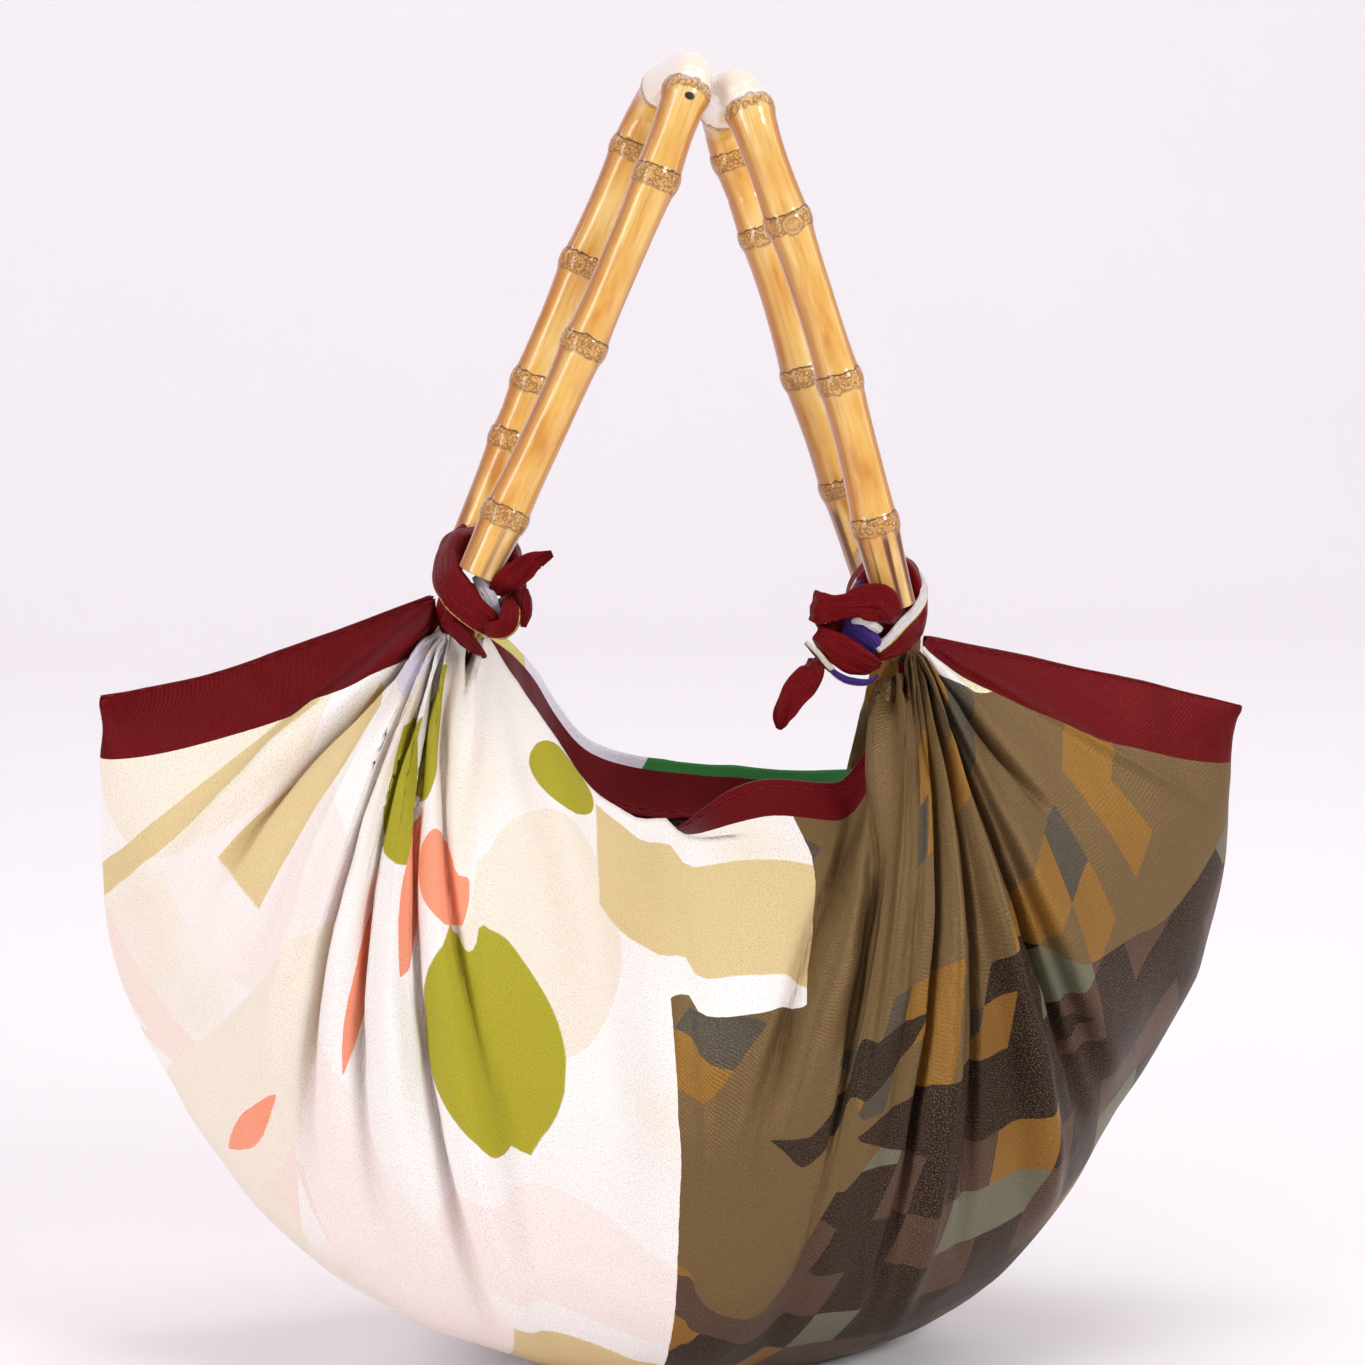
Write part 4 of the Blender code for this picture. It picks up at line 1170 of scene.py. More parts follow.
# The bands of both knots. A row gives x, y, z, half the width and half the
# thickness in millimetres, and a stripe starts at its share of the width.
LEFT_BANDS = [
    {"name": "neck", "creases": 1.5, "round": True,
     "stripes": [(0.0, MAROON), (0.5, MAROON_DARK), (0.86, CORAL)],
     "rows": [(-102, -17, 338, 8, 9), (-103, -19, 343, 9, 10.5), (-103, -22, 349, 9.5, 10.5),
              (-104, -27, 355, 9, 9), (-103, -33, 362, 7, 6)]},
    {"name": "loop", "closed": True, "creases": 0.9,
     "stripes": [(0.0, MAROON_DARK), (0.1, MAROON)],
     "rows": [(-91.5, -24, 386.1, 10, 1.8), (-103.5, -26, 383, 11, 3.6), (-107, -31, 370, 12, 5.0),
              (-105, -37, 358, 12, 6.0), (-97, -40, 352, 12, 7.0), (-87, -41, 352, 12, 6.5),
              (-80, -36, 362, 10, 4.6), (-79.5, -27, 377.5, 9, 3.2)]},
    {"name": "sweep", "creases": 0.9,
     "stripes": [(0.0, MAROON), (0.93, HEM_EDGE)],
     "rows": [(-100, -16, 387, 2.9, 1.5), (-106, -22, 382, 5.9, 2.4), (-109, -32, 376, 7.6, 2.9),
              (-110, -42, 369, 8.6, 3.2), (-107, -50, 363, 8.6, 3.2), (-102, -55, 357, 7.8, 2.9),
              (-96, -58, 352, 6.8, 2.6), (-90, -58, 348, 5.2, 2.2), (-85, -56, 347, 3.3, 1.6)]},
    {"name": "tuck", "creases": 0.5,
     "stripes": [(0.0, LILAC), (0.75, BLUSH)],
     "rows": [(-98, -46, 369, 1.8, 1.1), (-95, -50, 365, 3.4, 1.6), (-93, -53, 361, 3.4, 1.6),
              (-91, -54, 356, 2.9, 1.5), (-88, -54, 352, 1.6, 1.1)]},
    {"name": "leaf", "creases": 0.3,
     "stripes": [(0.0, GREEN)],
     "rows": [(-93, -44, 370, 1.0, 0.9), (-90, -45, 372, 1.8, 1.1), (-88, -45, 374, 1.3, 1.0)]},
    {"name": "strip", "creases": 0.5,
     "stripes": [(0.0, MAROON)],
     "rows": [(-83, -30, 379, 1.8, 1.1), (-84, -38, 373, 3.4, 1.6), (-87, -46, 367, 4.4, 1.9),
              (-91, -50, 364, 3.6, 1.7)]},
    {"name": "lapel", "creases": 0.6,
     "stripes": [(0.0, MAROON)],
     "rows": [(-109, -40, 358, 2.6, 1.4), (-109, -44, 350, 4.4, 1.9), (-105, -44, 345, 5.5, 2.2),
              (-99, -40, 338, 3.9, 1.8), (-93, -34, 332, 1.3, 1.0)]},
    {"name": "lump", "creases": 0.8,
     "stripes": [(0.0, MAROON), (0.8, HEM_EDGE), (0.87, MAROON)],
     "rows": [(-95, -60, 347, 3.9, 1.8), (-89, -63, 348, 5.5, 2.2), (-85, -62, 352, 5.5, 2.2),
              (-84, -60, 357, 4.7, 2.0), (-84, -56, 360, 2.9, 1.5)]},
    {"name": "flap", "creases": 0.4,
     "stripes": [(0.0, MAROON), (0.7, paint(120, 60, 95))],
     "rows": [(-78, -54, 348, 1.6, 1.1), (-77, -56, 354, 2.9, 1.5), (-77, -56, 360, 2.6, 1.4),
              (-77, -54, 364, 1.3, 1.0)]},
    {"name": "tail", "creases": 1.2,
     "stripes": [(0.0, MAROON)],
     "rows": [(-90, -52, 363, 3.9, 1.8), (-84, -56, 369, 6.3, 2.5), (-78, -58, 374, 5.5, 2.2),
              (-71, -59, 378, 3.4, 1.6), (-66, -59, 380, 1.6, 1.1)]},
]
RIGHT_BANDS = [
    {"name": "neck", "creases": 1.5, "round": True,
     "stripes": [(0.0, KHAKI), (0.3, UMBER), (0.5, KHAKI), (0.84, WHITE)],
     "rows": [(97, -17, 326, 8, 9), (97, -19, 331, 9, 10.5), (97, -21, 337, 9.5, 9.5),
              (97, -24, 343, 8, 7), (96, -28, 348, 6, 4)]},
    {"name": "loop", "closed": True, "creases": 0.9,
     "stripes": [(0.0, MAROON_DARK), (0.2, MAROON)],
     "rows": [(87, -24, 370.8, 10, 1.8), (97.5, -26, 367, 11, 3.2), (100, -30, 356, 11, 4.4),
              (97, -36, 344, 10.5, 5.4), (90, -40, 340, 9, 6.5), (80, -41, 338.5, 10, 6.5),
              (72.5, -35, 345, 9.5, 4.4), (74.5, -27, 359, 9, 3.4)]},
    {"name": "core", "creases": 1.0,
     "stripes": [(0.0, MAROON_DARK)],
     "rows": [(52, -52, 351, 5.0, 3.0), (60, -52, 348, 8.0, 5.0), (70, -51, 343, 9.0, 6.0),
              (79, -48, 340, 6.0, 5.0)]},
    {"name": "white", "creases": 0.3,
     "stripes": [(0.0, HEM_EDGE), (0.2, WHITE)],
     "rows": [(96, -18, 372, 1.0, 0.9), (101, -26, 366, 1.5, 1.0), (103, -34, 361, 1.9, 1.1),
              (101, -43, 356, 2.4, 1.2), (96, -51, 351, 2.6, 1.3), (89, -57, 346, 2.6, 1.3),
              (82, -61, 340, 2.4, 1.3), (76, -63, 335, 1.6, 1.1)]},
    {"name": "sweep", "creases": 0.8,
     "stripes": [(0.0, MAROON)],
     "rows": [(105, -26, 355, 2.6, 1.4), (103, -34, 349, 6.2, 2.2), (99, -42, 344, 8.2, 2.8),
              (92, -50, 339, 8.0, 2.8), (84, -55, 336, 6.6, 2.4), (77, -57, 333, 4.4, 1.9),
              (72, -57, 332, 1.4, 1.0)]},
    {"name": "side", "creases": 0.5,
     "stripes": [(0.0, PURPLE), (0.3, OLIVE), (0.45, WHITE), (0.6, MAROON)],
     "rows": [(82, -18, 366, 1.3, 1.0), (78, -24, 364, 3.4, 1.6), (73, -32, 360, 4.4, 1.9),
              (69, -40, 356, 4.4, 1.9), (67, -46, 352, 3.1, 1.5)]},
    {"name": "chunk", "creases": 1.1,
     "stripes": [(0.0, MAROON)],
     "rows": [(49, -55, 355, 7.0, 1.6), (52, -60, 354, 7.2, 2.8), (57, -62, 354, 5.8, 3.0),
              (63, -63, 355, 5.6, 3.2), (69, -66, 357, 7.6, 4.2), (75, -69, 357, 8.4, 4.6),
              (80, -68, 353, 6.6, 3.4), (84, -62, 348, 2.2, 1.4)]},
    # The under band is dark maroon laid in the shade between the chunk and the lobe: painted shadow.
    {"name": "under", "creases": 0.7,
     "stripes": [(0.0, MAROON_DARK)],
     "rows": [(51, -55, 350, 3.9, 1.8), (55, -58, 346, 3.9, 1.8), (62, -56, 346, 2.9, 1.5)]},
    {"name": "ruffle", "creases": 0.3,
     "stripes": [(0.0, WHITE)],
     "rows": [(65, -62, 348, 1.0, 0.9), (69, -65, 349, 2.1, 1.2), (73, -66, 347, 2.3, 1.3),
              (77, -64, 344, 1.8, 1.1)]},
    {"name": "print", "creases": 0.6,
     "stripes": [(0.0, PURPLE)],
     "rows": [(63, -56, 348, 3.3, 1.6), (67, -59, 342, 6.4, 2.4), (72, -61, 338, 6.4, 2.4),
              (74, -59, 334, 3.2, 1.6)]},
    {"name": "lobe", "creases": 1.0,
     "stripes": [(0.0, MAROON)],
     "rows": [(50, -58, 342, 4.4, 1.9), (54, -62, 339, 7.0, 2.8), (60, -65, 335, 8.2, 3.2),
              (67, -65, 331, 7.8, 3.0), (74, -62, 328, 5.2, 2.2), (78, -58, 328, 1.6, 1.1)]},
    {"name": "trim", "creases": 0.2,
     "stripes": [(0.0, CREAM), (0.5, GREY)],
     "rows": [(45, -59, 339, 1.0, 0.9), (50, -61, 334, 2.0, 1.2), (54, -62, 329, 2.0, 1.2),
              (58, -62, 325, 1.1, 0.9)]},
    {"name": "piping", "creases": 0.2,
     "stripes": [(0.0, PURPLE), (0.75, LILAC)],
     "rows": [(54, -61, 329, 0.9, 0.8), (58, -63, 325, 1.8, 1.1), (64, -64, 322, 2.1, 1.2),
              (71, -63, 321, 1.9, 1.1), (77, -59, 323, 1.0, 0.8)]},
    {"name": "tail", "creases": 1.3,
     "stripes": [(0.0, MAROON)],
     "rows": [(51, -55, 331, 5.2, 2.2), (48, -58, 326, 6.8, 2.6), (43, -60, 320, 6.8, 2.6),
              (38, -61, 313, 6.0, 2.4), (34, -61, 306, 4.2, 1.9), (33, -60, 301, 1.3, 1.0)]},
]


def run_length(points):
    """Return how far along a line each of its points lies."""
    return np.concatenate([[0], np.cumsum(np.linalg.norm(np.diff(points, axis=0), axis=1))])


def tube_faces(rings, sides, closed=False):
    """Return the faces of a tube, joined to its own start or capped at both ends."""
    faces = []
    for ring in range(rings if closed else rings - 1):
        after = (ring + 1) % rings
        for side in range(sides):
            beside = (side + 1) % sides
            faces.append([ring * sides + side, ring * sides + beside,
                          after * sides + beside, after * sides + side])
    if not closed:
        faces.append(list(range(sides))[::-1])
        faces.append([(rings - 1) * sides + side for side in range(sides)])
    return faces


def turn_out(made):
    """Turn the faces of a closed piece outwards."""
    bm = bmesh.new()
    bm.from_mesh(made.data)
    bmesh.ops.recalc_face_normals(bm, faces=bm.faces)
    bm.to_mesh(made.data)
    bm.free()


def crease_height(angle, length, seed):
    """Return creases that wander along a band, for each way round and length."""
    dice = np.random.default_rng(seed)
    height = np.zeros((len(length), len(angle)))
    run = 2 * math.pi * length[:, None] / length[-1]
    for _ in range(CREASE_WAVES):
        count = int(dice.integers(1, CREASE_MOST))
        start, swing, phase = dice.uniform(0, 2 * math.pi, 3)
        turn = count * angle[None, :] + start + 0.5 * swing * np.sin(run + phase)
        height += 1 - 2 * np.abs(np.sin(turn / 2)) ** CREASE_SHARP
    return height / math.sqrt(CREASE_WAVES)


def band_silk(name, stripes):
    """Return silk striped across a band, from one edge at 0 to the other at 1."""
    plain = all(colour in (MAROON, MAROON_DARK, HEM_EDGE) for place, colour in stripes)
    finish = Finish(name, Specular_IOR_Level=0.08, Metallic=SATIN if plain else 0.0)
    place = finish.on_cloth()
    across = finish.split(place)[0]
    wander = finish.noise(place, WANDER_SCALE) * STRIPE_WANDER
    colour = finish.ramp(across + wander - STRIPE_WANDER / 2, stripes, "CONSTANT")
    shade = finish.noise(place, BAND_SHADE_SCALE) * BAND_SHADE
    finish.give(Base_Color=finish.mix(shade, colour, MAROON_DARK))
    body = finish.on_object()
    pulls = finish.noise(finish.stretch(place, PULL_SCALE), 1.0, 3.0, 0.55)
    finish.give(Normal=finish.bump(pulls, *PULL_BUMP, weave_normal(finish, body)))
    silk_sheen(finish, body)
    return finish.material


def band_path(band):
    """Return a band's centre, half width and half thickness along its length."""
    table = np.array(band["rows"], dtype=float)
    last = len(table) - 1
    closed = "closed" in band
    if closed:
        table = np.concatenate([table[-2:], table, table[:3]])
    steps = max(BAND_LEAST_STEPS, int(run_length(table[:, :3])[-1] / BAND_STEP))
    at = np.linspace(2, last + 3, steps + 1)[:-1] if closed else np.linspace(0, last, steps)
    knots = np.arange(len(table), dtype=float)
    path = np.stack([smooth(at, knots, column) for column in table.T], axis=1)
    return path[:, :3], path[:, 3:4], path[:, 4:5]


def band_axes(band, core, centre):
    """Return the directions across a band's width and out of its face."""
    facing = centre - np.array(core)
    if "closed" in band:
        ahead = unit(np.roll(centre, -1, axis=0) - np.roll(centre, 1, axis=0))
        facing[:, 1] = 0
    else:
        ahead = unit(np.gradient(centre, axis=0))
    if "round" in band:
        facing = np.tile([0.0, -1.0, 0.0], (len(centre), 1))
    facing = unit(facing - ahead * np.sum(facing * ahead, axis=1, keepdims=True))
    return np.cross(ahead, facing)[:, None], facing[:, None]


def band_piece(knot, core, band):
    """Make one pleated band of a knot as a closed body."""
    centre, half_wide, half_thick = band_path(band)
    wide, facing = band_axes(band, core, centre)
    length = run_length(centre)
    angle = 2 * math.pi * np.arange(BAND_SIDES) / BAND_SIDES
    seed = len(knot) + sum(map(ord, band["name"]))
    crease = CREASE_DEPTH * band["creases"] * crease_height(angle, length, seed)
    crease *= np.minimum(half_wide, CREASE_LEAST) / CREASE_LEAST
    through = np.sin(angle)[None, :]
    if "round" not in band:
        through = np.sign(through) * np.abs(through) ** BAND_FULL
    across = np.cos(angle) * (half_wide + 0.5 * crease)
    through = through * (half_thick + crease)
    points = centre[:, None] + wide * across[..., None] + facing * through[..., None]
    name = f"knot_{knot}_{band['name']}"
    faces = tube_faces(len(centre), BAND_SIDES, "closed" in band)
    made = mesh_piece(name, points.reshape(-1, 3) * MM, faces, band_silk(name, band["stripes"]))
    over = np.broadcast_to(0.5 + 0.5 * np.cos(angle), across.shape)
    run = np.broadcast_to(length[:, None] * MM * BAND_MAP, across.shape)
    give_map(made, np.stack([over, run], axis=2).reshape(-1, 2))
    turn_out(made)
    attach(made, "root")
    return made


knot_pieces = [band_piece("left", LEFT_CORE, band) for band in LEFT_BANDS]
knot_pieces += [band_piece("right", RIGHT_CORE, band) for band in RIGHT_BANDS]


# Canes

# Each handle is a length of whole bamboo, bent over steam to a closed D and
# lacquered. Its nodes keep a ring of root scars, and its bends are paler.
CANE_RADIUS = 9.6
KINK = 1.1
LEG_SPREAD = 48.0
LEG_HEIGHT = 211.0
BEND_HEIGHT = 28.5
BEND_POWER = 2.8
BEND_DROP = 9.0
TOE_HEIGHT = 130.0
PATH_STEPS = 240
CANE_SIDES = 40
CANE_STEP = 1.1
CANE_BEVEL = [(1.0, 0.6), (0.95, 0.0), (0.62, 0.0), (0.55, 0.8), (0.5, 2.4), (0.02, 2.6)]

# Shape along the cane, as shares of its radius and lengths from a node
WAIST = -0.065
NODE_SWELL = 0.12
FLARE_LENGTH = 12.0
FLARE_POWER = 1.3
RING_SWELL = 0.08
RING_LENGTH = 4.4
GIRTH = 0.02
GIRTH_LENGTH = 30.0
GROOVE_DEPTH = 0.025
GROOVE_PLACE = 4.6
GROOVE_LENGTH = 0.7
LINE_PLACE = 4.4
LINE_LENGTH = 2.5
SCORCH_LENGTH = 8.0
SCAR_FAR = 40.0
BARE_NODE = 2.6
RIPPLES = [(0.012, 2, 31.0), (0.008, 3, -17.0)]

# Marks on the skin, in metres from a node, a bud or a slot
BAND_EDGE = (0.0036, 0.0044)
BAND_WAVE = 0.0044
NODE_LINE = 0.0042
NODE_LINE_EDGE = (0.00015, 0.0006)
BUD_EDGE = (0.0044, 0.0048)
BUD_RING = 0.0044
BUD_RING_EDGE = (0.0002, 0.0007)
BUD_CORE = 0.0026
BUD_CORE_EDGE = (0.0001, 0.0005)
BUD_WAVE = 0.0012
SLOT_EDGE = (0.0018, 0.0023)
SLOT_NARROW = (1.0, 1.9, 0.0)
SLOT_DEEP = 2
BAND_WAVE_SCALE = 260.0
BUD_WAVE_SCALE = 500.0
ROOT_SCALE = 360.0
ROOT_RING = 0.42
ROOT_RING_EDGE = (0.04, 0.12)
SPECK_SCALE = 1100.0
SPECK_EDGE = (0.5, 0.62)
CANE_SCAR_BUMP = (0.5, 0.0007)
CANE_FIBRE_BUMP = (0.1, 0.0004)
CANE_ROUGH = 0.28
STREAK_ROUGH = 0.1
NODE_ROUGH = 0.2

# Noises that are drawn out along the fibres of the wood
FIBRE_NOISES = {
    # share of its length that is left, scale, detail, roughness
    "patches": (0.3, 70.0, 3.0, 0.6),
    "streaks": (0.05, 420.0, 3.0, 0.6),
    "stains": (0.25, 46.0, 3.0, 0.5),
    "char": (0.03, 210.0, 2.0, 0.5),
    "rod_lines": (0.04, 500.0, 4.0, 0.6),
}
STREAK_EDGE = (0.5, 0.72)
STAIN_EDGE = (0.58, 0.7)
CHAR_EDGE = (0.42, 0.62)
# Where the painted shade on the cane's sides sets in, and where it is full
SIDE_SHADE_EDGE = (0.5 * CANE_RADIUS * MM, CANE_RADIUS * MM)

# How fully each colour covers the skin
STREAK_COVER = 0.45
# How fully the painted shade darkens the cane's sides
SIDE_SHADE_COVER = 0.35
STAIN_COVER = 0.5
PEELED_COVER = 0.85
BAND_COVER = 0.6
RING_COVER = 0.75
ROOT_COVER = 0.8
LINE_COVER = 0.35
ABOVE_COVER = 0.6
BUD_COVER = 0.7
CORE_COVER = 0.7
BUD_LINE_COVER = 0.5

# Colours of lacquered bamboo, and of its scars and scorched feet
SKIN_STOPS = [(0.3, paint(206, 134, 50)), (0.43, paint(230, 172, 80)),
              (0.56, paint(239, 193, 106)), (0.72, paint(248, 218, 150))]
STREAK = paint(198, 124, 46)
# Painted shade on the cane's left and right sides
SIDE_SHADE_BROWN = paint(168, 86, 22)
STAIN = paint(178, 94, 28)
PEELED = paint(246, 234, 222)
BAND_TAN = paint(214, 158, 84)
ROOT_BROWN = paint(118, 66, 22)
LINE_BROWN = paint(78, 40, 18)
BUD_TAN = paint(226, 176, 104)
BUD_BROWN = paint(122, 70, 28)
# Painted shade inside a slot
SLOT_SHADE = paint(34, 20, 12)
SCORCH = paint(104, 50, 16)
HANDLES = [
    {"side": "left", "butt_x": -97.2, "butt_z": 370, "lean": 24.1, "bow": 2.0, "turn": 0.0,
     "toe": 5.0, "front_nodes": (28, 109, 187, 225), "back_nodes": (55, 83, 141, 197, 236),
     "scorch": 0.45, "scars": ((221, -90, 1),)},
    {"side": "right", "butt_x": 87.5, "butt_z": 352, "lean": -17.1, "bow": 3.5, "turn": 2.4,
     "toe": 6.0, "front_nodes": (38, 103, 176, 226), "back_nodes": (43, 98, 165, 202, 233),
     "scorch": 1.0, "scars": ((175, -90, 0),)},
]


def handle_path():
    """Return a dense centreline of a cane in its plane, as y and height."""
    straight = np.linspace(0, LEG_HEIGHT, PATH_STEPS)[:-1]
    front_leg = np.stack([np.full_like(straight, -LEG_SPREAD), straight], axis=1)
    angle = np.linspace(0, math.pi, 4 * PATH_STEPS + 1)
    power = 2 / BEND_POWER
    across = -np.sign(np.cos(angle)) * np.abs(np.cos(angle)) ** power * LEG_SPREAD
    height = LEG_HEIGHT + BEND_HEIGHT * np.abs(np.sin(angle)) ** power
    bend = np.stack([across, height], axis=1)
    path = np.concatenate([front_leg, bend, front_leg[::-1] * [-1, 1]])
    towards_back = 0.5 + 0.5 * path[:, 0] / LEG_SPREAD
    path[:, 1] -= BEND_DROP * towards_back * (path[:, 1] / LEG_HEIGHT) ** 2
    return path


def handle_frame(handle):
    """Return the butt point, the way up the cane and the way across it."""
    lean = math.radians(handle["lean"])
    butt = np.array([handle["butt_x"], 0.0, handle["butt_z"]])
    up = np.array([math.sin(lean), 0.0, math.cos(lean)])
    aside = np.array([math.cos(lean), 0.0, -math.sin(lean)])
    return butt, up, aside


def side_offset(handle, y, height):
    """Return how far the cane stands sideways out of its plane."""
    bow = handle["bow"] * math.sin(math.pi * min(height / LEG_HEIGHT, 1.0))
    toe = handle["toe"] * max(0.0, 1 - height / TOE_HEIGHT) ** 2
    return bow + (toe + handle["turn"]) * (0.5 + 0.5 * y / LEG_SPREAD)


def bevelled_rings(count, bevel):
    """Return a rod's rings, as steps of its line, shares of its radius and insets."""
    rings = [(0, share, inset) for share, inset in bevel[::-1]]
    rings += [(step, 1.0, 0.0) for step in range(1, count - 1)]
    return rings + [(count - 1, share, inset) for share, inset in bevel]


def rod_piece(name, centre, radius, aside, material, bevel, marks):
    """Make a round rod along a line of points, with dished and bevelled ends.

    The radius and the marks are given for each step of the line and each side.
    """
    ahead = unit(np.gradient(centre, axis=0))
    wide_axis = np.broadcast_to(aside, ahead.shape)
    wide = unit(wide_axis - ahead * np.sum(wide_axis * ahead, axis=1, keepdims=True))
    thick = np.cross(ahead, wide)
    angle = 2 * math.pi * np.arange(CANE_SIDES) / CANE_SIDES
    across, through = np.cos(angle)[:, None], np.sin(angle)[:, None]
    length = run_length(centre)
    rings = bevelled_rings(len(centre), bevel)
    points = []
    grain = []
    for step, share, inset in rings:
        middle = centre[step] + ahead[step] * inset * (1 if step == 0 else -1)
        around = across * wide[step] + through * thick[step]
        points.append(middle + around * radius[step][:, None] * share)
        girth = CANE_RADIUS * share
        grain.append(np.hstack([across * girth, through * girth, np.full_like(across, length[step])]))
    made = mesh_piece(name, np.concatenate(points) * MM, tube_faces(len(rings), CANE_SIDES), material)
    give_attribute(made, "grain", np.concatenate(grain) * MM)
    for key, source in marks.items():
        give_attribute(made, key, np.concatenate([source[step] for step, share, inset in rings]))
    turn_out(made)
    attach(made, "root")
    return made


def fibre_noise(finish, grain, name):
    """Return a noise that is drawn out along the fibres."""
    left, scale, detail, roughness = FIBRE_NOISES[name]
    return finish.noise(finish.stretch(grain, (1.0, 1.0, left)), scale, detail, roughness)


def cane_skin(finish, grain, streaks):
    """Return the golden skin, with streaks, painted shade on its sides, stains and peeled bends."""
    patches = fibre_noise(finish, grain, "patches")
    colour = finish.ramp(patches, SKIN_STOPS)
    colour = finish.mix(finish.clamp(streaks, *STREAK_EDGE) * STREAK_COVER, colour, STREAK)
    # Painted shade: the cane's left and right sides, as seen from the front, are darkened
    side_shade = finish.clamp(abs(finish.split(grain)[0]), *SIDE_SHADE_EDGE)
    colour = finish.mix(side_shade * (SIDE_SHADE_COVER + patches), colour, SIDE_SHADE_BROWN)
    stains = finish.clamp(fibre_noise(finish, grain, "stains"), *STAIN_EDGE)
    colour = finish.mix(stains * STAIN_COVER, colour, STAIN)
    return finish.mix(finish.attribute("pale") * PEELED_COVER, colour, PEELED)


def root_scars(finish, grain, colour):
    """Add the ring of root scars at each node, and return its band and relief too."""
    wavy = finish.attribute("off_node") + (finish.noise(grain, BAND_WAVE_SCALE, 3.0) - 0.5) * BAND_WAVE
    band = 1 - finish.clamp(wavy, *BAND_EDGE)
    colour = finish.mix(band * BAND_COVER, colour, BAND_TAN)
    roots = finish.node("ShaderNodeTexVoronoi", {}, {"Vector": grain, "Scale": ROOT_SCALE})
    rings = finish.line(roots, ROOT_RING, ROOT_RING_EDGE)
    speck = finish.clamp(finish.noise(grain, SPECK_SCALE, 3.0, 0.7), *SPECK_EDGE)
    marks = band * finish.maths("MAXIMUM", rings * RING_COVER, speck)
    colour = finish.mix(marks * ROOT_COVER, colour, ROOT_BROWN)
    line = finish.line(wavy, NODE_LINE, NODE_LINE_EDGE)
    covered = line * (LINE_COVER + finish.attribute("above") * ABOVE_COVER)
    colour = finish.mix(covered, colour, LINE_BROWN)
    return colour, band, marks - line


def bud_scars(finish, grain, colour):
    """Add a round bud scar or a slot painted dark with its inner shade, where a cane has one, and its
    relief.
    """
    scar = finish.attribute("scar", 1)
    slot = finish.split(scar)[2]
    reach = finish.vector_maths("LENGTH", finish.stretch(scar, (1.0, 1.0, 0.0)), output=1)
    reach = reach + (finish.noise(grain, BUD_WAVE_SCALE) - 0.5) * BUD_WAVE
    bud = (1 - finish.clamp(reach, *BUD_EDGE)) * (1 - slot)
    outer_line = finish.line(reach, BUD_RING, BUD_RING_EDGE)
    inner_line = finish.line(reach, BUD_CORE, BUD_CORE_EDGE)
    lines = finish.maths("MAXIMUM", outer_line, inner_line * CORE_COVER) * (1 - slot)
    colour = finish.mix(bud * BUD_COVER, colour, BUD_TAN)
    colour = finish.mix(lines * BUD_LINE_COVER, colour, BUD_BROWN)
    thin = finish.vector_maths("LENGTH", finish.stretch(scar, SLOT_NARROW), output=1)
    # Painted shade: the slot is coloured near black for the shade inside it
    hole_and_shade = (1 - finish.clamp(thin, *SLOT_EDGE)) * slot
    return finish.mix(hole_and_shade, colour, SLOT_SHADE), lines + hole_and_shade * SLOT_DEEP


def bamboo_finish():
    """Return lacquered bamboo with root scars round its nodes."""
    finish = Finish("lacquered_bamboo", Coat_Weight=0.8, Coat_Roughness=0.05)
    grain = finish.attribute("grain", 1)
    streaks = fibre_noise(finish, grain, "streaks")
    colour = cane_skin(finish, grain, streaks)
    colour, band, ring_relief = root_scars(finish, grain, colour)
    colour, bud_relief = bud_scars(finish, grain, colour)
    char = finish.clamp(fibre_noise(finish, grain, "char"), *CHAR_EDGE)
    colour = finish.mix(finish.attribute("burnt") * char, colour, SCORCH)
    fibres = finish.bump(streaks, *CANE_FIBRE_BUMP)
    finish.give(Base_Color=colour, Roughness=CANE_ROUGH + streaks * STREAK_ROUGH + band * NODE_ROUGH,
                Normal=finish.bump(ring_relief - bud_relief, *CANE_SCAR_BUMP, fibres))
    return finish.material


def scar_places(handle, mark, angle):
    """Return the places of a ring's points, as seen from the nearest bud scar."""
    place, turn, slot = min(handle["scars"], key=lambda scar: abs(mark - scar[0]))
    around = np.angle(np.exp(1j * (angle - math.radians(turn)))) * CANE_RADIUS
    along = np.full_like(angle, np.clip(mark - place, -SCAR_FAR, SCAR_FAR))
    return np.stack([around * MM, along * MM, np.full_like(angle, slot)], axis=1)


def cane_girth(off, girth, mark, angle):
    """Return a ring's radius, at a distance off its node and a mark along the cane."""
    swell = WAIST + NODE_SWELL * math.exp(-abs(off / FLARE_LENGTH) ** FLARE_POWER)
    swell += RING_SWELL * math.exp(-(off / RING_LENGTH) ** 4)
    swell += girth * math.exp(-(off / GIRTH_LENGTH) ** 2)
    swell -= GROOVE_DEPTH * math.exp(-((off - GROOVE_PLACE) / GROOVE_LENGTH) ** 2)
    ripple = sum(depth * np.sin(angle * lobes + mark / wave) for depth, lobes, wave in RIPPLES)
    return CANE_RADIUS * (1 + swell + ripple)


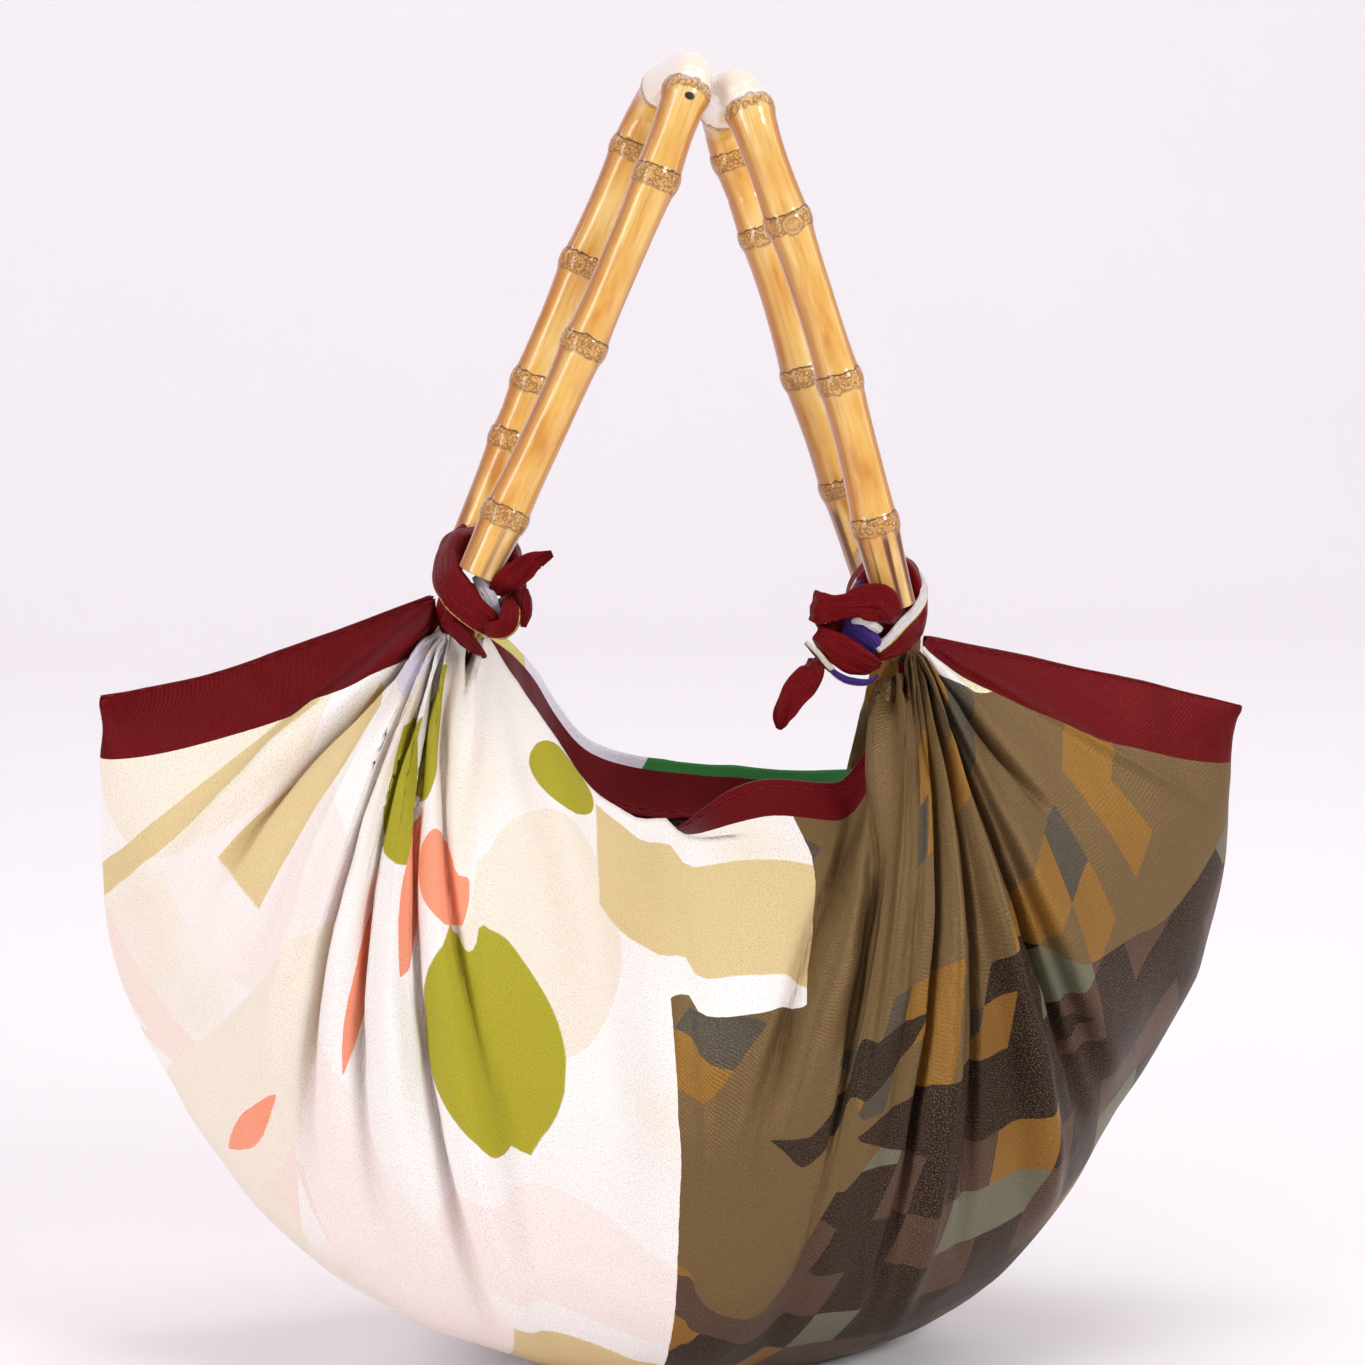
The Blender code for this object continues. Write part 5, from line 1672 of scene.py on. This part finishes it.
def cane_piece(handle, material):
    """Make one bent bamboo cane."""
    path = handle_path()
    length = run_length(path)
    total = length[-1]
    butt, up, aside = handle_frame(handle)
    nodes = list(handle["front_nodes"]) + [total - place for place in handle["back_nodes"]]
    first_bend, last_bend = handle["front_nodes"][-1], total - handle["back_nodes"][-1]
    stations = [0.0] + sorted(nodes) + [total]
    dice = np.random.default_rng(len(handle["side"]))
    kinks = dice.uniform(-KINK, KINK, (2, len(stations)))
    kinks[:, [0, -1]] = 0.0
    girth = dict(zip(nodes, dice.uniform(-GIRTH, GIRTH, len(nodes))))
    angle = 2 * math.pi * np.arange(CANE_SIDES) / CANE_SIDES
    centre, radius = [], []
    marks = {"off_node": [], "above": [], "pale": [], "burnt": [], "scar": []}
    for mark in np.linspace(0, total, int(total / CANE_STEP)):
        y, height = (np.interp(mark, length, column) for column in path.T)
        in_plane, sideways = (np.interp(mark, stations, row) for row in kinks)
        spot = butt + up * height + np.array([0, y + in_plane, 0])
        centre.append(spot + aside * (side_offset(handle, y, height) + sideways))
        nearest = min(nodes, key=lambda node: abs(mark - node))
        off = nearest - mark if mark > total / 2 else mark - nearest
        radius.append(cane_girth(off, girth[nearest], mark, angle))
        bare = BARE_NODE if nearest in (first_bend, last_bend) else 0.0
        foot_gap = handle["front_nodes"][0] - min(mark, total - mark)
        told = {"off_node": (abs(off) + bare) * MM,
                "above": math.exp(-((off - LINE_PLACE) / LINE_LENGTH) ** 2),
                "pale": float(first_bend + 1.0 < mark < last_bend - 1.0),
                "burnt": handle["scorch"] * float(ease(np.array(foot_gap / SCORCH_LENGTH)))}
        for key, value in told.items():
            marks[key].append(np.full_like(angle, value))
        marks["scar"].append(scar_places(handle, mark, angle))
    made = rod_piece("bamboo_" + handle["side"], np.array(centre), radius, aside, material,
                     CANE_BEVEL, marks)
    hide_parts("cane_" + handle["side"])


bamboo = bamboo_finish()
for handle in HANDLES:
    cane_piece(handle, bamboo)


# Bars

# A plain turned rod is let into the feet of each cane, and the knots go round
# it. Only its ends show, between the knot and the cane.
BAR_RADIUS = 5.0
BAR_ABOVE_BUTT = 10.0
BAR_HALF_LENGTH = 45.1
BAR_STEPS = 60
BAR_BEVEL = [(1.0, 0.5), (0.9, 0.0), (0.02, 0.0)]
ROD_STOPS = [(0.3, paint(150, 98, 48)), (0.7, paint(205, 158, 98))]
ROD_ROUGH = 0.45
ROD_LINE_ROUGH = 0.15
ROD_BUMP = (0.2, 0.0004)

rod_wood = Finish("turned_rod", Coat_Weight=0.2, Coat_Roughness=0.3)
rod_grain = rod_wood.attribute("grain", 1)
rod_lines = fibre_noise(rod_wood, rod_grain, "rod_lines")
rod_wood.give(Base_Color=rod_wood.ramp(rod_lines, ROD_STOPS),
              Roughness=ROD_ROUGH + rod_lines * ROD_LINE_ROUGH,
              Normal=rod_wood.bump(rod_lines, *ROD_BUMP))
for handle in HANDLES:
    butt, up, aside = handle_frame(handle)
    ends = []
    for y in (-LEG_SPREAD, LEG_SPREAD):
        end = butt + up * BAR_ABOVE_BUTT + np.array([0, y, 0])
        ends.append(end + aside * side_offset(handle, y, BAR_ABOVE_BUTT))
    middle = 0.5 * (ends[0] + ends[1])
    run = unit(ends[1] - ends[0])
    shares = np.linspace(-BAR_HALF_LENGTH, BAR_HALF_LENGTH, BAR_STEPS)
    rod_centre = middle + shares[:, None] * run
    rod_radius = np.full((BAR_STEPS, CANE_SIDES), BAR_RADIUS)
    rod = rod_piece("rod_" + handle["side"], rod_centre, rod_radius, aside, rod_wood.material,
                    BAR_BEVEL, {})
    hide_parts("bar_" + handle["side"])
